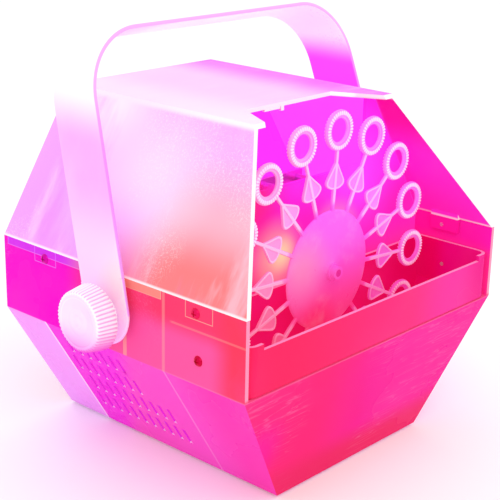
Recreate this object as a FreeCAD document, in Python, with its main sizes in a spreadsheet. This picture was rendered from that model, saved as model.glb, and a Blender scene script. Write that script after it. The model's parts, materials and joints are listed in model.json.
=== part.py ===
import FreeCAD, Part
import math
import os
import re
import Sketcher
from FreeCAD import Placement, Rotation, Vector

# Bubble machine: a six-sided see-through case with a toothed wand wheel that turns in front of a
# fan, dips into a fluid trough, and is carried by a swinging strap handle between two knobs.
# X runs across the machine, -Y is its front, Z is up from the surface it stands on. Millimetres.

doc = FreeCAD.newDocument("BubbleMachine")
sheet = doc.addObject("Spreadsheet::Sheet", "Dims")

SIZES = (
    # the case
    ("mid_half", 135.0, "half width of the case's upright band"),
    ("low_half", 78.0, "half width of the case's floor"),
    ("top_half", 72.0, "half width of the case's top"),
    ("deep_half", 116.25, "half depth of the case"),
    ("foot_rise", 2.0, "underside of the case above the ground"),
    ("mid_low", 95.0, "lower edge of the upright band"),
    ("mid_high", 149.0, "upper edge of the upright band"),
    ("case_high", 249.0, "top of the case"),
    ("low_setback", 21.0, "how far the front leans back at the floor"),
    ("top_setback", 54.0, "how far the cover's front edge leans back at the top"),
    ("wall", 3.0, "wall of the case and cover"),
    ("ease", 0.6, "gap round the plates and the trough inside the case"),
    ("notch_half", 62.0, "half width of the cover's front notch at its mouth"),
    ("notch_back_half", 44.6, "half width of the notch at its back"),
    ("notch_back", 28.6, "distance of the notch's back edge in front of the middle"),
    ("lip_depth", 5.5, "how far the cover's lip reaches below its seam"),
    ("tab_depth", 10.5, "how far the cover's screw tabs reach below its seam"),
    ("lip_thick", 2.8, "thickness of the lip and tabs"),
    ("boss_deep", 10.0, "length of the rear panel's screw bosses"),
    ("slot_long", 15.0, "length of a vent slot, up the slope"),
    ("slot_wide", 3.0, "width of a vent slot"),
    ("slot_pitch", 8.9, "spacing of the vent slots along the case"),
    ("slot_row", 20.5, "spacing of the vent rows up the slope"),
    # plates across the case
    ("plate", 3.0, "thickness of the plates across the case"),
    ("partition_rear", 45.0, "distance of the partition's rear face in front of the middle"),
    ("bulkhead_front", 69.0, "distance of the fan bulkhead's front face behind the middle"),
    ("rear_sink", 4.0, "how deep the rear panel sits inside the case's rim"),
    ("lamp_gap", 1.6, "gap between the partition and the lamp boards"),
    ("slit_half", 62.0, "half width of the air opening at the partition's top"),
    ("slit_low", 197.5, "lower edge of the air opening"),
    # the trough
    ("tank_rear", 53.0, "distance of the trough's rear face in front of the middle"),
    ("tank_wall", 2.5, "wall of the trough"),
    ("tank_step", 96.2, "height of the ledge where the trough widens over the front"),
    ("tank_rim", 129.7, "height of the trough's side rims"),
    ("tank_front_rim", 125.7, "height of the trough's front rim"),
    ("tank_corner", 8.0, "radius of the trough's upright front corners"),
    # the wand wheel and its drive
    ("wheel_front", 67.8, "distance of the wheel's middle plane in front of the middle"),
    ("wheel_high", 136.2, "height of the wheel's axis"),
    ("wheel_start", 3.8, "angle of the first wand from upright"),
    ("wands", 16.0, "number of wands"),
    ("wand_reach", 97.9, "radius at which the wand rings are centred"),
    ("hub_radius", 42.8, "radius of the wheel's disc"),
    ("ring_outer", 14.0, "outer radius of a wand ring"),
    ("ring_inner", 8.3, "inner radius of a wand ring"),
    ("ring_flange", 1.8, "thickness of a wand ring's flange"),
    ("crown_outer", 13.4, "outer radius of a wand ring's thick crown"),
    ("crown_inner", 10.4, "inner radius of a wand ring's thick crown"),
    ("ring_thick", 4.8, "thickness of a wand ring's crown"),
    ("wand_thick", 2.4, "thickness of the stems and paddles"),
    ("shaft_radius", 3.0, "radius of the wheel's shaft"),
    ("bore_play", 0.05, "radial play of a shaft in its bore"),
    ("gear_module", 0.8, "module of the drive's gears"),
    ("output_teeth", 40.0, "teeth of the gear on the wheel's shaft"),
    ("small_teeth", 12.0, "teeth of the motor pinion and of the compound gear's small end"),
    ("large_teeth", 36.0, "teeth of the compound gear's large end"),
    ("gear_thick", 5.0, "face width of a gear"),
    ("gearbox_front", 44.8, "distance of the gearbox's front face in front of the middle"),
    ("gearbox_plate", 2.5, "thickness of the gearbox plates"),
    ("gearbox_gap", 18.2, "gap between the gearbox plates"),
    ("motor_radius", 14.0, "outer radius of the motor can"),
    ("motor_long", 32.0, "length of the motor can"),
    # the fan
    ("fan_high", 150.0, "height of the fan's axis"),
    ("fan_half", 46.0, "half side of the fan's square frame"),
    ("fan_deep", 25.0, "depth of the fan's frame"),
    ("fan_bore", 44.0, "radius of the fan's air way"),
    ("fan_hub", 17.5, "radius of the impeller's hub"),
    ("fan_hole", 41.25, "offset of the fan's screws from its axis"),
    # the handle and its knobs
    ("pivot_high", 124.5, "height of the handle's pivot"),
    ("grip_half", 140.1, "inner half width of the handle at its pivot"),
    ("grip_taper", 0.0858, "how much each leg leans in per unit of height"),
    ("grip_high", 176.3, "underside of the grip above the pivot"),
    ("grip_wide", 42.0, "width of the handle's strap"),
    ("grip_thick", 3.0, "thickness of the handle's strap"),
    ("grip_corner", 45.0, "inner radius of the handle's corners"),
    ("grip_lean", 17.6, "how far the handle leans back"),
    ("knob_radius", 21.8, "inner end radius of a knob's skirt between its ribs"),
    ("knob_face", 19.6, "outer end radius of a knob's skirt between its ribs"),
    ("knob_neck", 14.0, "radius of a knob's neck"),
    ("knob_skirt", 6.6, "distance of a knob's skirt from its inner face"),
    ("knob_rib", 0.8, "height of a knob's ribs"),
    ("knob_ribs", 48.0, "number of ribs round a knob"),
    ("knob_seat", 145.3, "distance of a knob's inner face from the middle"),
    ("knob_long", 22.2, "length of a knob"),
    ("stud_radius", 4.0, "radius of a knob's threaded stud"),
    # sockets and the switch in the rear panel
    ("inlet_side", 42.0, "distance of the mains inlet to the left of the middle"),
    ("switch_side", 42.0, "distance of the switch to the right of the middle"),
    ("socket_high", 62.0, "height of the inlet and the switch"),
)
NAMES = [alias for alias, value, note in SIZES]
for row, (alias, value, note) in enumerate(SIZES, 1):
    sheet.set(f"A{row}", note)
    sheet.set(f"B{row}", str(value))
    sheet.setAlias(f"B{row}", alias)
doc.recompute()

nodes = []


def full(formula):
    """Writes the sheet's name before every alias in a formula."""
    return re.sub(r"[a-z_]+", lambda word: "Dims." + word[0] if word[0] in NAMES else word[0], str(formula))


def size(formula):
    """The value of a formula in the sheet's aliases."""
    return float(sheet.evalExpression(full(formula)))


def bind(thing, **formulas):
    for name, formula in formulas.items():
        thing.setExpression(name, full(formula))
    return thing


def place(thing, x=0, y=0, z=0, turn=None):
    if turn:
        thing.Placement = Placement(Vector(), turn)
    for name, formula in (("x", x), ("y", y), ("z", z)):
        thing.setExpression("Placement.Base." + name, full(formula))
    return thing


def node(thing, name):
    """Makes an object one of the machine's separate pieces."""
    thing.Label = name
    nodes.append(thing)
    return thing


def box(name, low, high):
    thing = doc.addObject("Part::Box", name)
    spans = [f"({top}) - ({bottom})" for bottom, top in zip(low, high)]
    bind(thing, Length=spans[0], Width=spans[1], Height=spans[2])
    return place(thing, *low)


AXIS_TURN = {
    "X": Rotation(Vector(0, 1, 0), 90),
    "Y": Rotation(Vector(1, 0, 0), -90),
    "Z": Rotation(),
}


def rod(name, axis, start, radius, length):
    """A cylinder along a positive axis."""
    thing = doc.addObject("Part::Cylinder", name)
    bind(thing, Radius=radius, Height=length)
    return place(thing, *start, turn=AXIS_TURN[axis])


def fuse(name, parts):
    thing = doc.addObject("Part::MultiFuse", name)
    thing.Shapes = parts
    return thing


def common(name, parts):
    thing = doc.addObject("Part::MultiCommon", name)
    thing.Shapes = parts
    return thing


def cut(name, base, tools):
    thing = doc.addObject("Part::Cut", name)
    thing.Base = base
    thing.Tool = tools[0] if len(tools) == 1 else compound(name + "_tools", tools)
    return thing


def compound(name, parts):
    thing = doc.addObject("Part::Compound", name)
    thing.Links = parts
    return thing


def add_polygon(sketch, corners):
    """Draws a closed polygon whose corners are bound to the sheet."""
    first = sketch.GeometryCount
    count = len(corners)
    points = [Vector(size(across), size(up), 0) for across, up in corners]
    for index in range(count):
        sketch.addGeometry(Part.LineSegment(points[index], points[(index + 1) % count]), False)
    for index in range(count):
        following = first + (index + 1) % count
        sketch.addConstraint(Sketcher.Constraint("Coincident", first + index, 2, following, 1))
    for index, corner in enumerate(corners):
        for kind, axis_line, formula in (("DistanceX", -2, corner[0]), ("DistanceY", -1, corner[1])):
            value = size(formula)
            if abs(value) < 1e-9:
                sketch.addConstraint(Sketcher.Constraint("PointOnObject", first + index, 1, axis_line))
                continue
            number = sketch.addConstraint(Sketcher.Constraint(kind, -1, 1, first + index, 1, value))
            sketch.setExpression(f"Constraints[{number}]", full(formula))


def add_circle(sketch, across, up, radius):
    first = sketch.GeometryCount
    middle = Vector(size(across), size(up), 0)
    sketch.addGeometry(Part.Circle(middle, Vector(0, 0, 1), size(radius)), False)
    number = sketch.addConstraint(Sketcher.Constraint("Radius", first, size(radius)))
    sketch.setExpression(f"Constraints[{number}]", full(radius))
    for kind, axis_line, formula in (("DistanceX", -2, across), ("DistanceY", -1, up)):
        if abs(size(formula)) < 1e-9:
            sketch.addConstraint(Sketcher.Constraint("PointOnObject", first, 3, axis_line))
            continue
        number = sketch.addConstraint(Sketcher.Constraint(kind, -1, 1, first, 3, size(formula)))
        sketch.setExpression(f"Constraints[{number}]", full(formula))


PLANE_TURN = {
    "XY": (Rotation(), Vector(0, 0, 1), "z"),
    "XZ": (Rotation(Vector(1, 0, 0), 90), Vector(0, 1, 0), "y"),
    "YZ": (Rotation(0.5, 0.5, 0.5, 0.5), Vector(1, 0, 0), "x"),
}


def prism(name, plane, corners, start, end):
    """A polygon drawn in a plane and drawn out along the axis across it."""
    turn, along, letter = PLANE_TURN[plane]
    sketch = doc.addObject("Sketcher::SketchObject", name + "_outline")
    add_polygon(sketch, corners)
    place(sketch, turn=turn, **{letter: start})
    thing = doc.addObject("Part::Extrusion", name)
    thing.Base = sketch
    thing.DirMode = "Custom"
    thing.Dir = along
    thing.Solid = True
    return bind(thing, LengthFwd=f"({end}) - ({start})")


def solid_of(name, shape, position=Vector(), turn=Rotation()):
    """A piece whose shape is worked out here from the sheet."""
    thing = doc.addObject("Part::Feature", name)
    thing.Shape = shape
    thing.Placement = Placement(position, turn)
    return thing


def copies(name, master, places):
    """Separate solids of one kind, each turned from +Z to its own direction."""
    doc.recompute()
    solids = []
    for position, outward in places:
        solid = master.Shape.copy()
        solid.Placement = Placement(Vector(*position), Rotation(Vector(0, 0, 1), Vector(*outward)))
        solids.append(solid)
    return solid_of(name, Part.makeCompound(solids))


def mirrored(corners):
    """Corners up the right side, then the same down the left side."""
    return corners + [(f"-({across})", up) for across, up in reversed(corners)]


# How far the case's faces run sideways or back for each unit of height, and how far a face moves
# sideways for each unit of wall.
LOW_SLOPE = "((mid_half - low_half) / (mid_low - foot_rise))"
TOP_SLOPE = "((mid_half - top_half) / (case_high - mid_high))"
LOW_SLANT = f"sqrt(1 + {LOW_SLOPE}^2)"
TOP_SLANT = f"sqrt(1 + {TOP_SLOPE}^2)"
FRONT_LEAN = "(low_setback / (mid_low - foot_rise))"
FRONT_SLANT = f"sqrt(1 + {FRONT_LEAN}^2)"


def lower_side(gap):
    """The right side of the case's lower outline, moved inwards by a gap."""
    return [
        (f"low_half + ({gap}) * ({LOW_SLOPE} - {LOW_SLANT})", f"foot_rise + ({gap})"),
        (f"mid_half - ({gap})", f"mid_low + ({gap}) * ({LOW_SLANT} - 1) / {LOW_SLOPE}"),
    ]


def upper_side(gap):
    """The right side of the case's upper outline, moved inwards by a gap."""
    return [
        (f"mid_half - ({gap})", f"mid_high - ({gap}) * ({TOP_SLANT} - 1) / {TOP_SLOPE}"),
        (f"top_half + ({gap}) * ({TOP_SLOPE} - {TOP_SLANT})", f"case_high - ({gap})"),
    ]


def front_floor(gap):
    """Where the leaning front meets the floor, in the side view, moved inwards by a gap."""
    return (f"low_setback - deep_half + ({gap}) * ({FRONT_SLANT} - {FRONT_LEAN})", f"foot_rise + ({gap})")


def cross_plate(name, front, rear):
    """A plate that fills the case's six-sided cross-section."""
    gap = "wall + ease"
    return prism(name, "XZ", mirrored(lower_side(gap) + upper_side(gap)), front, rear)


def both_sides(make, name, *rest):
    """Makes a piece of the case on the left and on the right."""
    return [make(f"{name}_{label}", sign, *rest) for label, sign in (("left", -1), ("right", 1))]


def side_box(name, sign, inner, outer, front, rear, low, high):
    """A box on one side of the machine, given by its distances from the middle plane."""
    ends = (f"{sign} * ({inner})", f"{sign} * ({outer})")
    start, end = ends if sign > 0 else reversed(ends)
    return box(name, (start, front, low), (end, rear, high))


SCREW_ROWS = {
    "cover": [(-74, "mid_high - 6.5"), (71.5, "mid_high - 7")],
    "tank": [(-76.5, "tank_rim - 18.2")],
}
PANEL_SCREWS = [(62, 10), (126.5, 110), (56, 239.5)]


def side_holes(name, rows, radius, inner):
    """Screw holes across the upright band, on both sides."""
    holes = []
    for number, (along, up) in enumerate(rows):
        span = f"2 * ({inner})"
        holes.append(rod(f"{name}_{number}", "X", (f"-({inner})", along, up), radius, span))
    return holes


VENT_ROWS = (11, 10, 8, 7)


def vent_slots(sign):
    """Staggered rows of vent slots through one lower slope of the case."""
    slope = math.atan2(size("mid_low - foot_rise"), size("mid_half - low_half"))
    along_slope = Vector(sign * math.cos(slope), 0, math.sin(slope))
    foot = Vector(sign * size("low_half"), 0, size("foot_rise"))
    turn = Rotation(Vector(0, 1, 0), -sign * math.degrees(slope))
    long, wide, deep = size("slot_long"), size("slot_wide"), 4 * size("wall")
    slots = []
    for row, count in enumerate(VENT_ROWS):
        stagger = size("slot_pitch") / 2 * (row % 2)
        for column in range(count):
            slot = Part.makeBox(long, wide, deep, Vector(-long / 2, -wide / 2, -deep / 2))
            middle = foot + along_slope * (29 + row * size("slot_row"))
            middle.y = 63.5 - column * size("slot_pitch") - stagger
            slot.Placement = Placement(middle, turn)
            slots.append(slot)
    return Part.makeCompound(slots)


def base_housing():
    """The lower half of the case: floor, lower slopes, upright bands and the leaning front."""
    outside = common("housing_outside", [
        prism("housing_hexagon", "XZ", mirrored(lower_side(0) + [("mid_half", "mid_high")]),
              "-deep_half", "deep_half"),
        prism("housing_side", "YZ", [
            ("deep_half", "foot_rise"), ("deep_half", "mid_high"), ("-deep_half", "mid_high"),
            ("-deep_half", "mid_low"), front_floor(0)], "-mid_half", "mid_half"),
    ])
    over = "deep_half + wall"
    inside = common("housing_inside", [
        prism("cavity_hexagon", "XZ", mirrored(lower_side("wall") + [("mid_half - wall", "mid_high + wall")]),
              f"-({over})", over),
        prism("cavity_side", "YZ", [
            (over, "foot_rise + wall"), (over, "mid_high + wall"), (f"-({over})", "mid_high + wall"),
            (f"-({over})", "mid_low"), (f"wall * {FRONT_SLANT} - deep_half", "mid_low"),
            front_floor("wall")], "-mid_half", "mid_half"),
    ])
    shell = cut("housing_shell", outside, [inside])
    boss_rear = "deep_half - rear_sink - plate - 0.05"
    boss_front = f"{boss_rear} - boss_deep"
    bosses = both_sides(side_box, "floor_boss", 57, 67, boss_front, boss_rear, "foot_rise + 1", 15)
    bosses += both_sides(side_box, "band_boss", 121.5, "mid_half - 1", boss_front, boss_rear, 105, 115)
    for number, front in enumerate((-10.5, 7.5)):
        bosses += both_sides(side_box, f"pivot_rib_{number}", "mid_half - wall - 3", "mid_half - 1",
                             front, front + 3, "mid_low + 2", 113)
    solid = fuse("housing_solid", [shell] + bosses)
    outer = "mid_half + 5"
    holes = side_holes("housing_cover_hole", SCREW_ROWS["cover"], 1.75, outer)
    holes += side_holes("housing_tank_hole", SCREW_ROWS["tank"], 1.75, outer)
    holes.append(rod("housing_pivot_hole", "X", (f"-({outer})", 0, "pivot_high"),
                     "stud_radius + 0.3", f"2 * ({outer})"))
    for number, (across, up) in enumerate(PANEL_SCREWS[:2]):
        for sign in (-1, 1):
            holes.append(rod(f"housing_boss_hole_{number}_{sign + 1}", "Y",
                             (sign * across, boss_front, up), 1.5, "boss_deep + 1"))
    slots = [solid_of(f"vent_slots_{sign + 1}", vent_slots(sign)) for sign in (-1, 1)]
    return node(cut("base_housing", solid, holes + slots), "base_housing")


def top_cover():
    """The frosted upper half: two sloping sides and a top with a notched front edge."""
    outside = common("cover_outside", [
        prism("cover_hexagon", "XZ", mirrored([("mid_half", "mid_high"), ("top_half", "case_high")]),
              "-deep_half", "deep_half"),
        prism("cover_side", "YZ", [
            ("deep_half", "mid_high"), ("deep_half", "case_high"),
            ("top_setback - deep_half", "case_high"), ("-deep_half", "mid_high")],
            "-mid_half", "mid_half"),
    ])
    corner = upper_side("wall")
    below = (f"{corner[0][0]}", "mid_high - wall")
    inside = prism("cover_inside", "XZ", mirrored([below] + corner), "-deep_half - 1", "deep_half + 1")
    notch = prism("cover_notch", "XY", mirrored([
        ("notch_half + 1.5", "-notch_back - 36"), ("notch_back_half", "-notch_back")]),
        "case_high - 2 * wall", "case_high + 1")
    shell = cut("cover_shell", outside, [inside, notch])
    face = "mid_half - wall - 0.5"
    inner = f"{face} - lip_thick"
    lips = both_sides(side_box, "cover_lip", inner, face, -42, 107, "mid_high - lip_depth", "mid_high + 4.6")
    for number, (front, rear) in enumerate(((-88, -64), (60, 83))):
        lips += both_sides(side_box, f"cover_tab_{number}", inner, face, front, rear,
                           "mid_high - tab_depth", "mid_high + 4.6")
    boss_rear = "deep_half - rear_sink - plate - 0.05"
    boss_front = f"{boss_rear} - boss_deep"
    bosses = both_sides(side_box, "roof_boss", 51, 61, boss_front, boss_rear, 234.5, "case_high - 1")
    clip = box("cover_clip", (-25, "-notch_back", "case_high - 4.5"), (-9, "2 - notch_back", "case_high - 1"))
    finger = box("cover_clip_finger", (-8.2, "-notch_back", "case_high - 6.2"),
                 (-5, "2 - notch_back", "case_high - 1"))
    solid = fuse("cover_solid", [shell] + lips + bosses + [clip, finger])
    holes = side_holes("cover_tab_hole", SCREW_ROWS["cover"], 1.5, "mid_half")
    across, up = PANEL_SCREWS[2]
    for sign in (-1, 1):
        holes.append(rod(f"cover_boss_hole_{sign + 1}", "Y", (sign * across, boss_front, up), 1.5,
                         "boss_deep + 1"))
    return node(cut("top_cover", solid, holes), "top_cover")


def lip_relief(name, front, rear):
    """Clearance in a cross plate for the cover's lips and tabs."""
    return both_sides(side_box, name, "mid_half - wall - lip_thick - 1.1", "mid_half", front, rear,
                      "mid_high - tab_depth - 0.6", "mid_high + 5.2")


def rear_panel():
    """The rear plate, with the air grille, the mains inlet and the switch."""
    rear = "deep_half - rear_sink"
    front = f"{rear} - plate"
    plate = cross_plate("rear_plate", front, rear)
    slits = []
    for row in range(-6, 7):
        for sign in (-1, 1):
            for label, inner, outer in (("near", 1.5, 22), ("far", 24.5, 44)):
                slits.append(side_box(f"grille_{row + 6}_{sign + 1}_{label}", sign, inner, outer,
                                      f"{front} - 1", f"{rear} + 1",
                                      f"fan_high + {row * 6.4 - 1.9}", f"fan_high + {row * 6.4 + 1.9}"))
    disc = rod("grille_disc", "Y", (0, f"{front} - 1", "fan_high"), "fan_bore - 1.5", "plate + 2")
    grille = common("grille", [compound("grille_slits", slits), disc])
    tools = [grille]
    tools.append(box("inlet_window", ("-inlet_side - 13.8", f"{front} - 1", "socket_high - 10.1"),
                     ("13.8 - inlet_side", f"{rear} + 1", "socket_high + 10.1")))
    tools.append(box("switch_window", ("switch_side - 6.6", f"{front} - 1", "socket_high - 9.7"),
                     ("switch_side + 6.6", f"{rear} + 1", "socket_high + 9.7")))
    for number, (across, up) in enumerate(PANEL_SCREWS):
        for sign in (-1, 1):
            tools.append(rod(f"panel_hole_{number}_{sign + 1}", "Y", (sign * across, f"{front} - 1", up),
                             1.75, "plate + 2"))
    return node(cut("rear_panel", plate, tools), "rear_panel")


def partition():
    """The plate behind the wand wheel, open at its top for the air, with pegs for the lamp boards."""
    front = "-partition_rear - plate"
    plate = cross_plate("partition_plate", front, "-partition_rear")
    flanges = both_sides(side_box, "partition_flange", "mid_half - wall - ease - 2.6",
                         "mid_half - wall - ease", "-tank_rear + 0.6", "-partition_rear", 102, 131)
    pegs = [rod(f"lamp_peg_{number}", "Y", (across, "-partition_rear - 1", up), 1.5, "lamp_gap + 1")
            for number, (across, up) in enumerate(((-47.5, 135.5), (-26, 156.5), (26, 156.5), (47.5, 135.5)))]
    solid = fuse("partition_solid", [plate] + flanges + pegs)
    tools = [box("air_opening", ("-slit_half", f"{front} - 1", "slit_low"),
                 ("slit_half", "1 - partition_rear", "case_high"))]
    tools.append(rod("shaft_hole", "Y", (0, f"{front} - 1", "wheel_high"), 8, "plate + 2"))
    for number, (across, up) in enumerate(GEARBOX_SCREWS):
        tools.append(rod(f"partition_gearbox_hole_{number}", "Y", (across, f"{front} + 0.8", up), 1.5, "plate"))
    return node(cut("partition", solid, tools), "partition")


def fan_bulkhead():
    """The rear plate that carries the fan."""
    front, rear = "bulkhead_front", "bulkhead_front + plate"
    tools = lip_relief("bulkhead_relief", f"{front} - 1", f"{rear} + 1")
    through = "plate + 2"
    tools.append(rod("fan_opening", "Y", (0, f"{front} - 1", "fan_high"), "fan_bore", through))
    tools.append(rod("cable_opening", "Y", (0, f"{front} - 1", 60), 9, through))
    for across in (-1, 1):
        for up in (-1, 1):
            tools.append(rod(f"bulkhead_fan_hole_{across + 1}_{up + 1}", "Y",
                             (f"{across} * fan_hole", f"{front} - 1", f"fan_high + {up} * fan_hole"),
                             2.15, through))
    return node(cut("fan_bulkhead", cross_plate("bulkhead_plate", front, rear), tools), "fan_bulkhead")


def trough_hull(name, gap, rear, top):
    """The trough's lower part, which follows the case's floor, slopes and leaning front."""
    return common(name, [
        prism(name + "_hexagon", "XZ", mirrored(lower_side(gap) + [(f"mid_half - ({gap})", top)]),
              "-deep_half", rear),
        prism(name + "_side", "YZ", [
            (rear, f"foot_rise + ({gap})"), (rear, top), (f"({gap}) * {FRONT_SLANT} - deep_half", top),
            front_floor(gap)], "-mid_half", "mid_half"),
    ])


def trough_band(name, inset, rear, low, high):
    """The trough's upper part, with rounded upright front corners."""
    half = f"(mid_half - wall - ease - ({inset}))"
    front = f"(0.5 + ({inset}) - deep_half)"
    radius = f"(tank_corner - ({inset}))"
    parts = [
        box(name + "_wide", (f"-{half}", f"{front} + {radius}", low), (half, rear, high)),
        box(name + "_long", (f"{radius} - {half}", front, low), (f"{half} - {radius}", rear, high)),
    ]
    for sign in (-1, 1):
        parts.append(rod(f"{name}_corner_{sign + 1}", "Z",
                         (f"{sign} * ({half} - {radius})", f"{front} + {radius}", low), radius,
                         f"({high}) - ({low})"))
    return fuse(name, parts)


def fluid_tank():
    """The trough that holds the bubble fluid."""
    outside = fuse("tank_outside", [
        trough_hull("tank_hull", "wall + ease", "-tank_rear", "tank_step"),
        trough_band("tank_band", 0, "-tank_rear", "tank_step", "tank_rim"),
    ])
    inside = fuse("tank_inside", [
        trough_hull("tank_hollow", "wall + ease + tank_wall", "-tank_rear - tank_wall", "tank_step + 4"),
        trough_band("tank_mouth", "tank_wall", "-tank_rear - tank_wall", "tank_step + tank_wall", "tank_rim + 5"),
    ])
    low_rim = box("tank_low_rim", (-118, "-deep_half - 1", "tank_front_rim"),
                  (118, "-deep_half + 4", "tank_rim + 1"))
    holes = side_holes("tank_screw_hole", SCREW_ROWS["tank"], 1.5, "mid_half")
    return node(cut("fluid_tank", outside, [inside, low_rim] + holes), "fluid_tank")


def origin_plane(body, role):
    return next(feature for feature in body.Origin.OriginFeatures if feature.Role == role)


def body_sketch(body, name, role):
    sketch = body.newObject("Sketcher::SketchObject", name)
    sketch.AttachmentSupport = [(origin_plane(body, role), "")]
    sketch.MapMode = "FlatFace"
    return sketch


def pad_both_ways(body, sketch, name, length):
    pad = body.newObject("PartDesign::Pad", name)
    pad.Profile = sketch
    pad.SideType = "Symmetric"
    pad.setExpression("Length", full(length))
    return pad


def polar(body, name, features, axis_role, count):
    pattern = body.newObject("PartDesign::PolarPattern", name)
    pattern.Originals = features
    pattern.Axis = (origin_plane(body, axis_role), [""])
    pattern.Angle = 360
    pattern.setExpression("Occurrences", full(count))
    body.Tip = pattern
    return pattern


def bubble_wheel():
    """A dished disc with wands round it, each a stem, a paddle and a ring."""
    body = doc.addObject("PartDesign::Body", "bubble_wheel")
    profile = body_sketch(body, "hub_profile", "XY_Plane")
    bore = "shaft_radius + 0.02"
    add_polygon(profile, [(bore, -5.2), (6.2, -5.2), (7.2, -3.6), ("hub_radius", -1.2), ("hub_radius", 1.2),
                          (9, 0.2), (9, 3.4), (bore, 3.4)])
    hub = body.newObject("PartDesign::Revolution", "hub")
    hub.Profile = profile
    hub.ReferenceAxis = (profile, ["V_Axis"])
    hub.Angle = 360
    stem_sketch = body_sketch(body, "stem_outline", "XZ_Plane")
    ring_foot = "wand_reach - crown_outer + 1"
    add_polygon(stem_sketch, [(-1.5, "hub_radius - 1"), (1.5, "hub_radius - 1"), (1.3, ring_foot),
                              (-1.3, ring_foot)])
    stem = pad_both_ways(body, stem_sketch, "stem", "wand_thick - 0.2")
    paddle_sketch = body_sketch(body, "paddle_outline", "XZ_Plane")
    add_polygon(paddle_sketch, [(-3.5, 57.2), (3.5, 57.2), (7.8, 59), (9.7, 61.4), (9, 64.2), (1.6, 76),
                                (-1.6, 76), (-9, 64.2), (-9.7, 61.4), (-7.8, 59)])
    paddle = pad_both_ways(body, paddle_sketch, "paddle", "wand_thick")
    steps = [stem, paddle]
    for name, outer, inner, thick in (("flange", "ring_outer", "ring_inner", "ring_flange"),
                                      ("crown", "crown_outer", "crown_inner", "ring_thick")):
        ring_sketch = body_sketch(body, f"ring_{name}_outline", "XZ_Plane")
        add_circle(ring_sketch, 0, "wand_reach", outer)
        add_circle(ring_sketch, 0, "wand_reach", inner)
        steps.append(pad_both_ways(body, ring_sketch, f"ring_{name}", thick))
    polar(body, "wand_pattern", steps, "Y_Axis", "wands")
    place(body, 0, "-wheel_front", "wheel_high", turn=Rotation(Vector(0, 1, 0), size("wheel_start")))
    return node(body, "bubble_wheel")


def involute(angle, radius):
    """A point on the involute of a circle, unwound by an angle."""
    return (radius * (math.cos(angle) + angle * math.sin(angle)),
            radius * (math.sin(angle) - angle * math.cos(angle)))


def gear_face(teeth, first_tooth):
    """A spur gear's outline in the XZ plane, with one tooth's middle at an angle from +X towards +Z."""
    module = size("gear_module")
    pitch = module * teeth / 2
    base = pitch * math.cos(math.radians(20))
    tip, root = pitch + 0.9 * module, pitch - 1.25 * module
    start = max(base, root)
    at_pitch = math.tan(math.acos(base / pitch)) - math.acos(base / pitch)
    half_tooth = math.pi / (2 * teeth) - 0.07 / pitch
    flank = []
    for step in range(5):
        radius = start + (tip - start) * step / 4
        unwound = math.sqrt(max((radius / base) ** 2 - 1, 0))
        across, up = involute(unwound, base)
        flank.append((math.hypot(across, up), half_tooth + at_pitch - math.atan2(up, across)))
    if root < base:
        flank.insert(0, (root, flank[0][1]))
    points = []
    for tooth in range(teeth):
        middle = first_tooth + 2 * math.pi * tooth / teeth
        for sign, run in ((-1, flank), (1, flank[::-1])):
            for radius, angle in run:
                turn = middle + sign * angle
                points.append(Vector(radius * math.cos(turn), 0, radius * math.sin(turn)))
    return Part.Face(Part.makePolygon(points + points[:1]))


def gear(teeth, first_tooth, middle, rear, thick, bore):
    """A spur gear between y = rear - thick and y = rear."""
    face = gear_face(teeth, first_tooth)
    face.translate(Vector(middle[0], rear - thick, middle[1]))
    solid = face.extrude(Vector(0, thick, 0))
    hole = Part.makeCylinder(bore, thick + 2, Vector(middle[0], rear - thick - 1, middle[1]), Vector(0, 1, 0))
    return solid.cut(hole)


def meshing_tooth(direction, teeth, first_tooth, partner_teeth):
    """The first tooth's angle of a gear whose gap meets the other gear's tooth."""
    phase = (direction - first_tooth) * teeth / (2 * math.pi)
    return direction + math.pi - (0.5 - phase) * 2 * math.pi / partner_teeth


GEARBOX_SCREWS = [(-17, 113), (17, 113), (-17, 190), (17, 190)]


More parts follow.
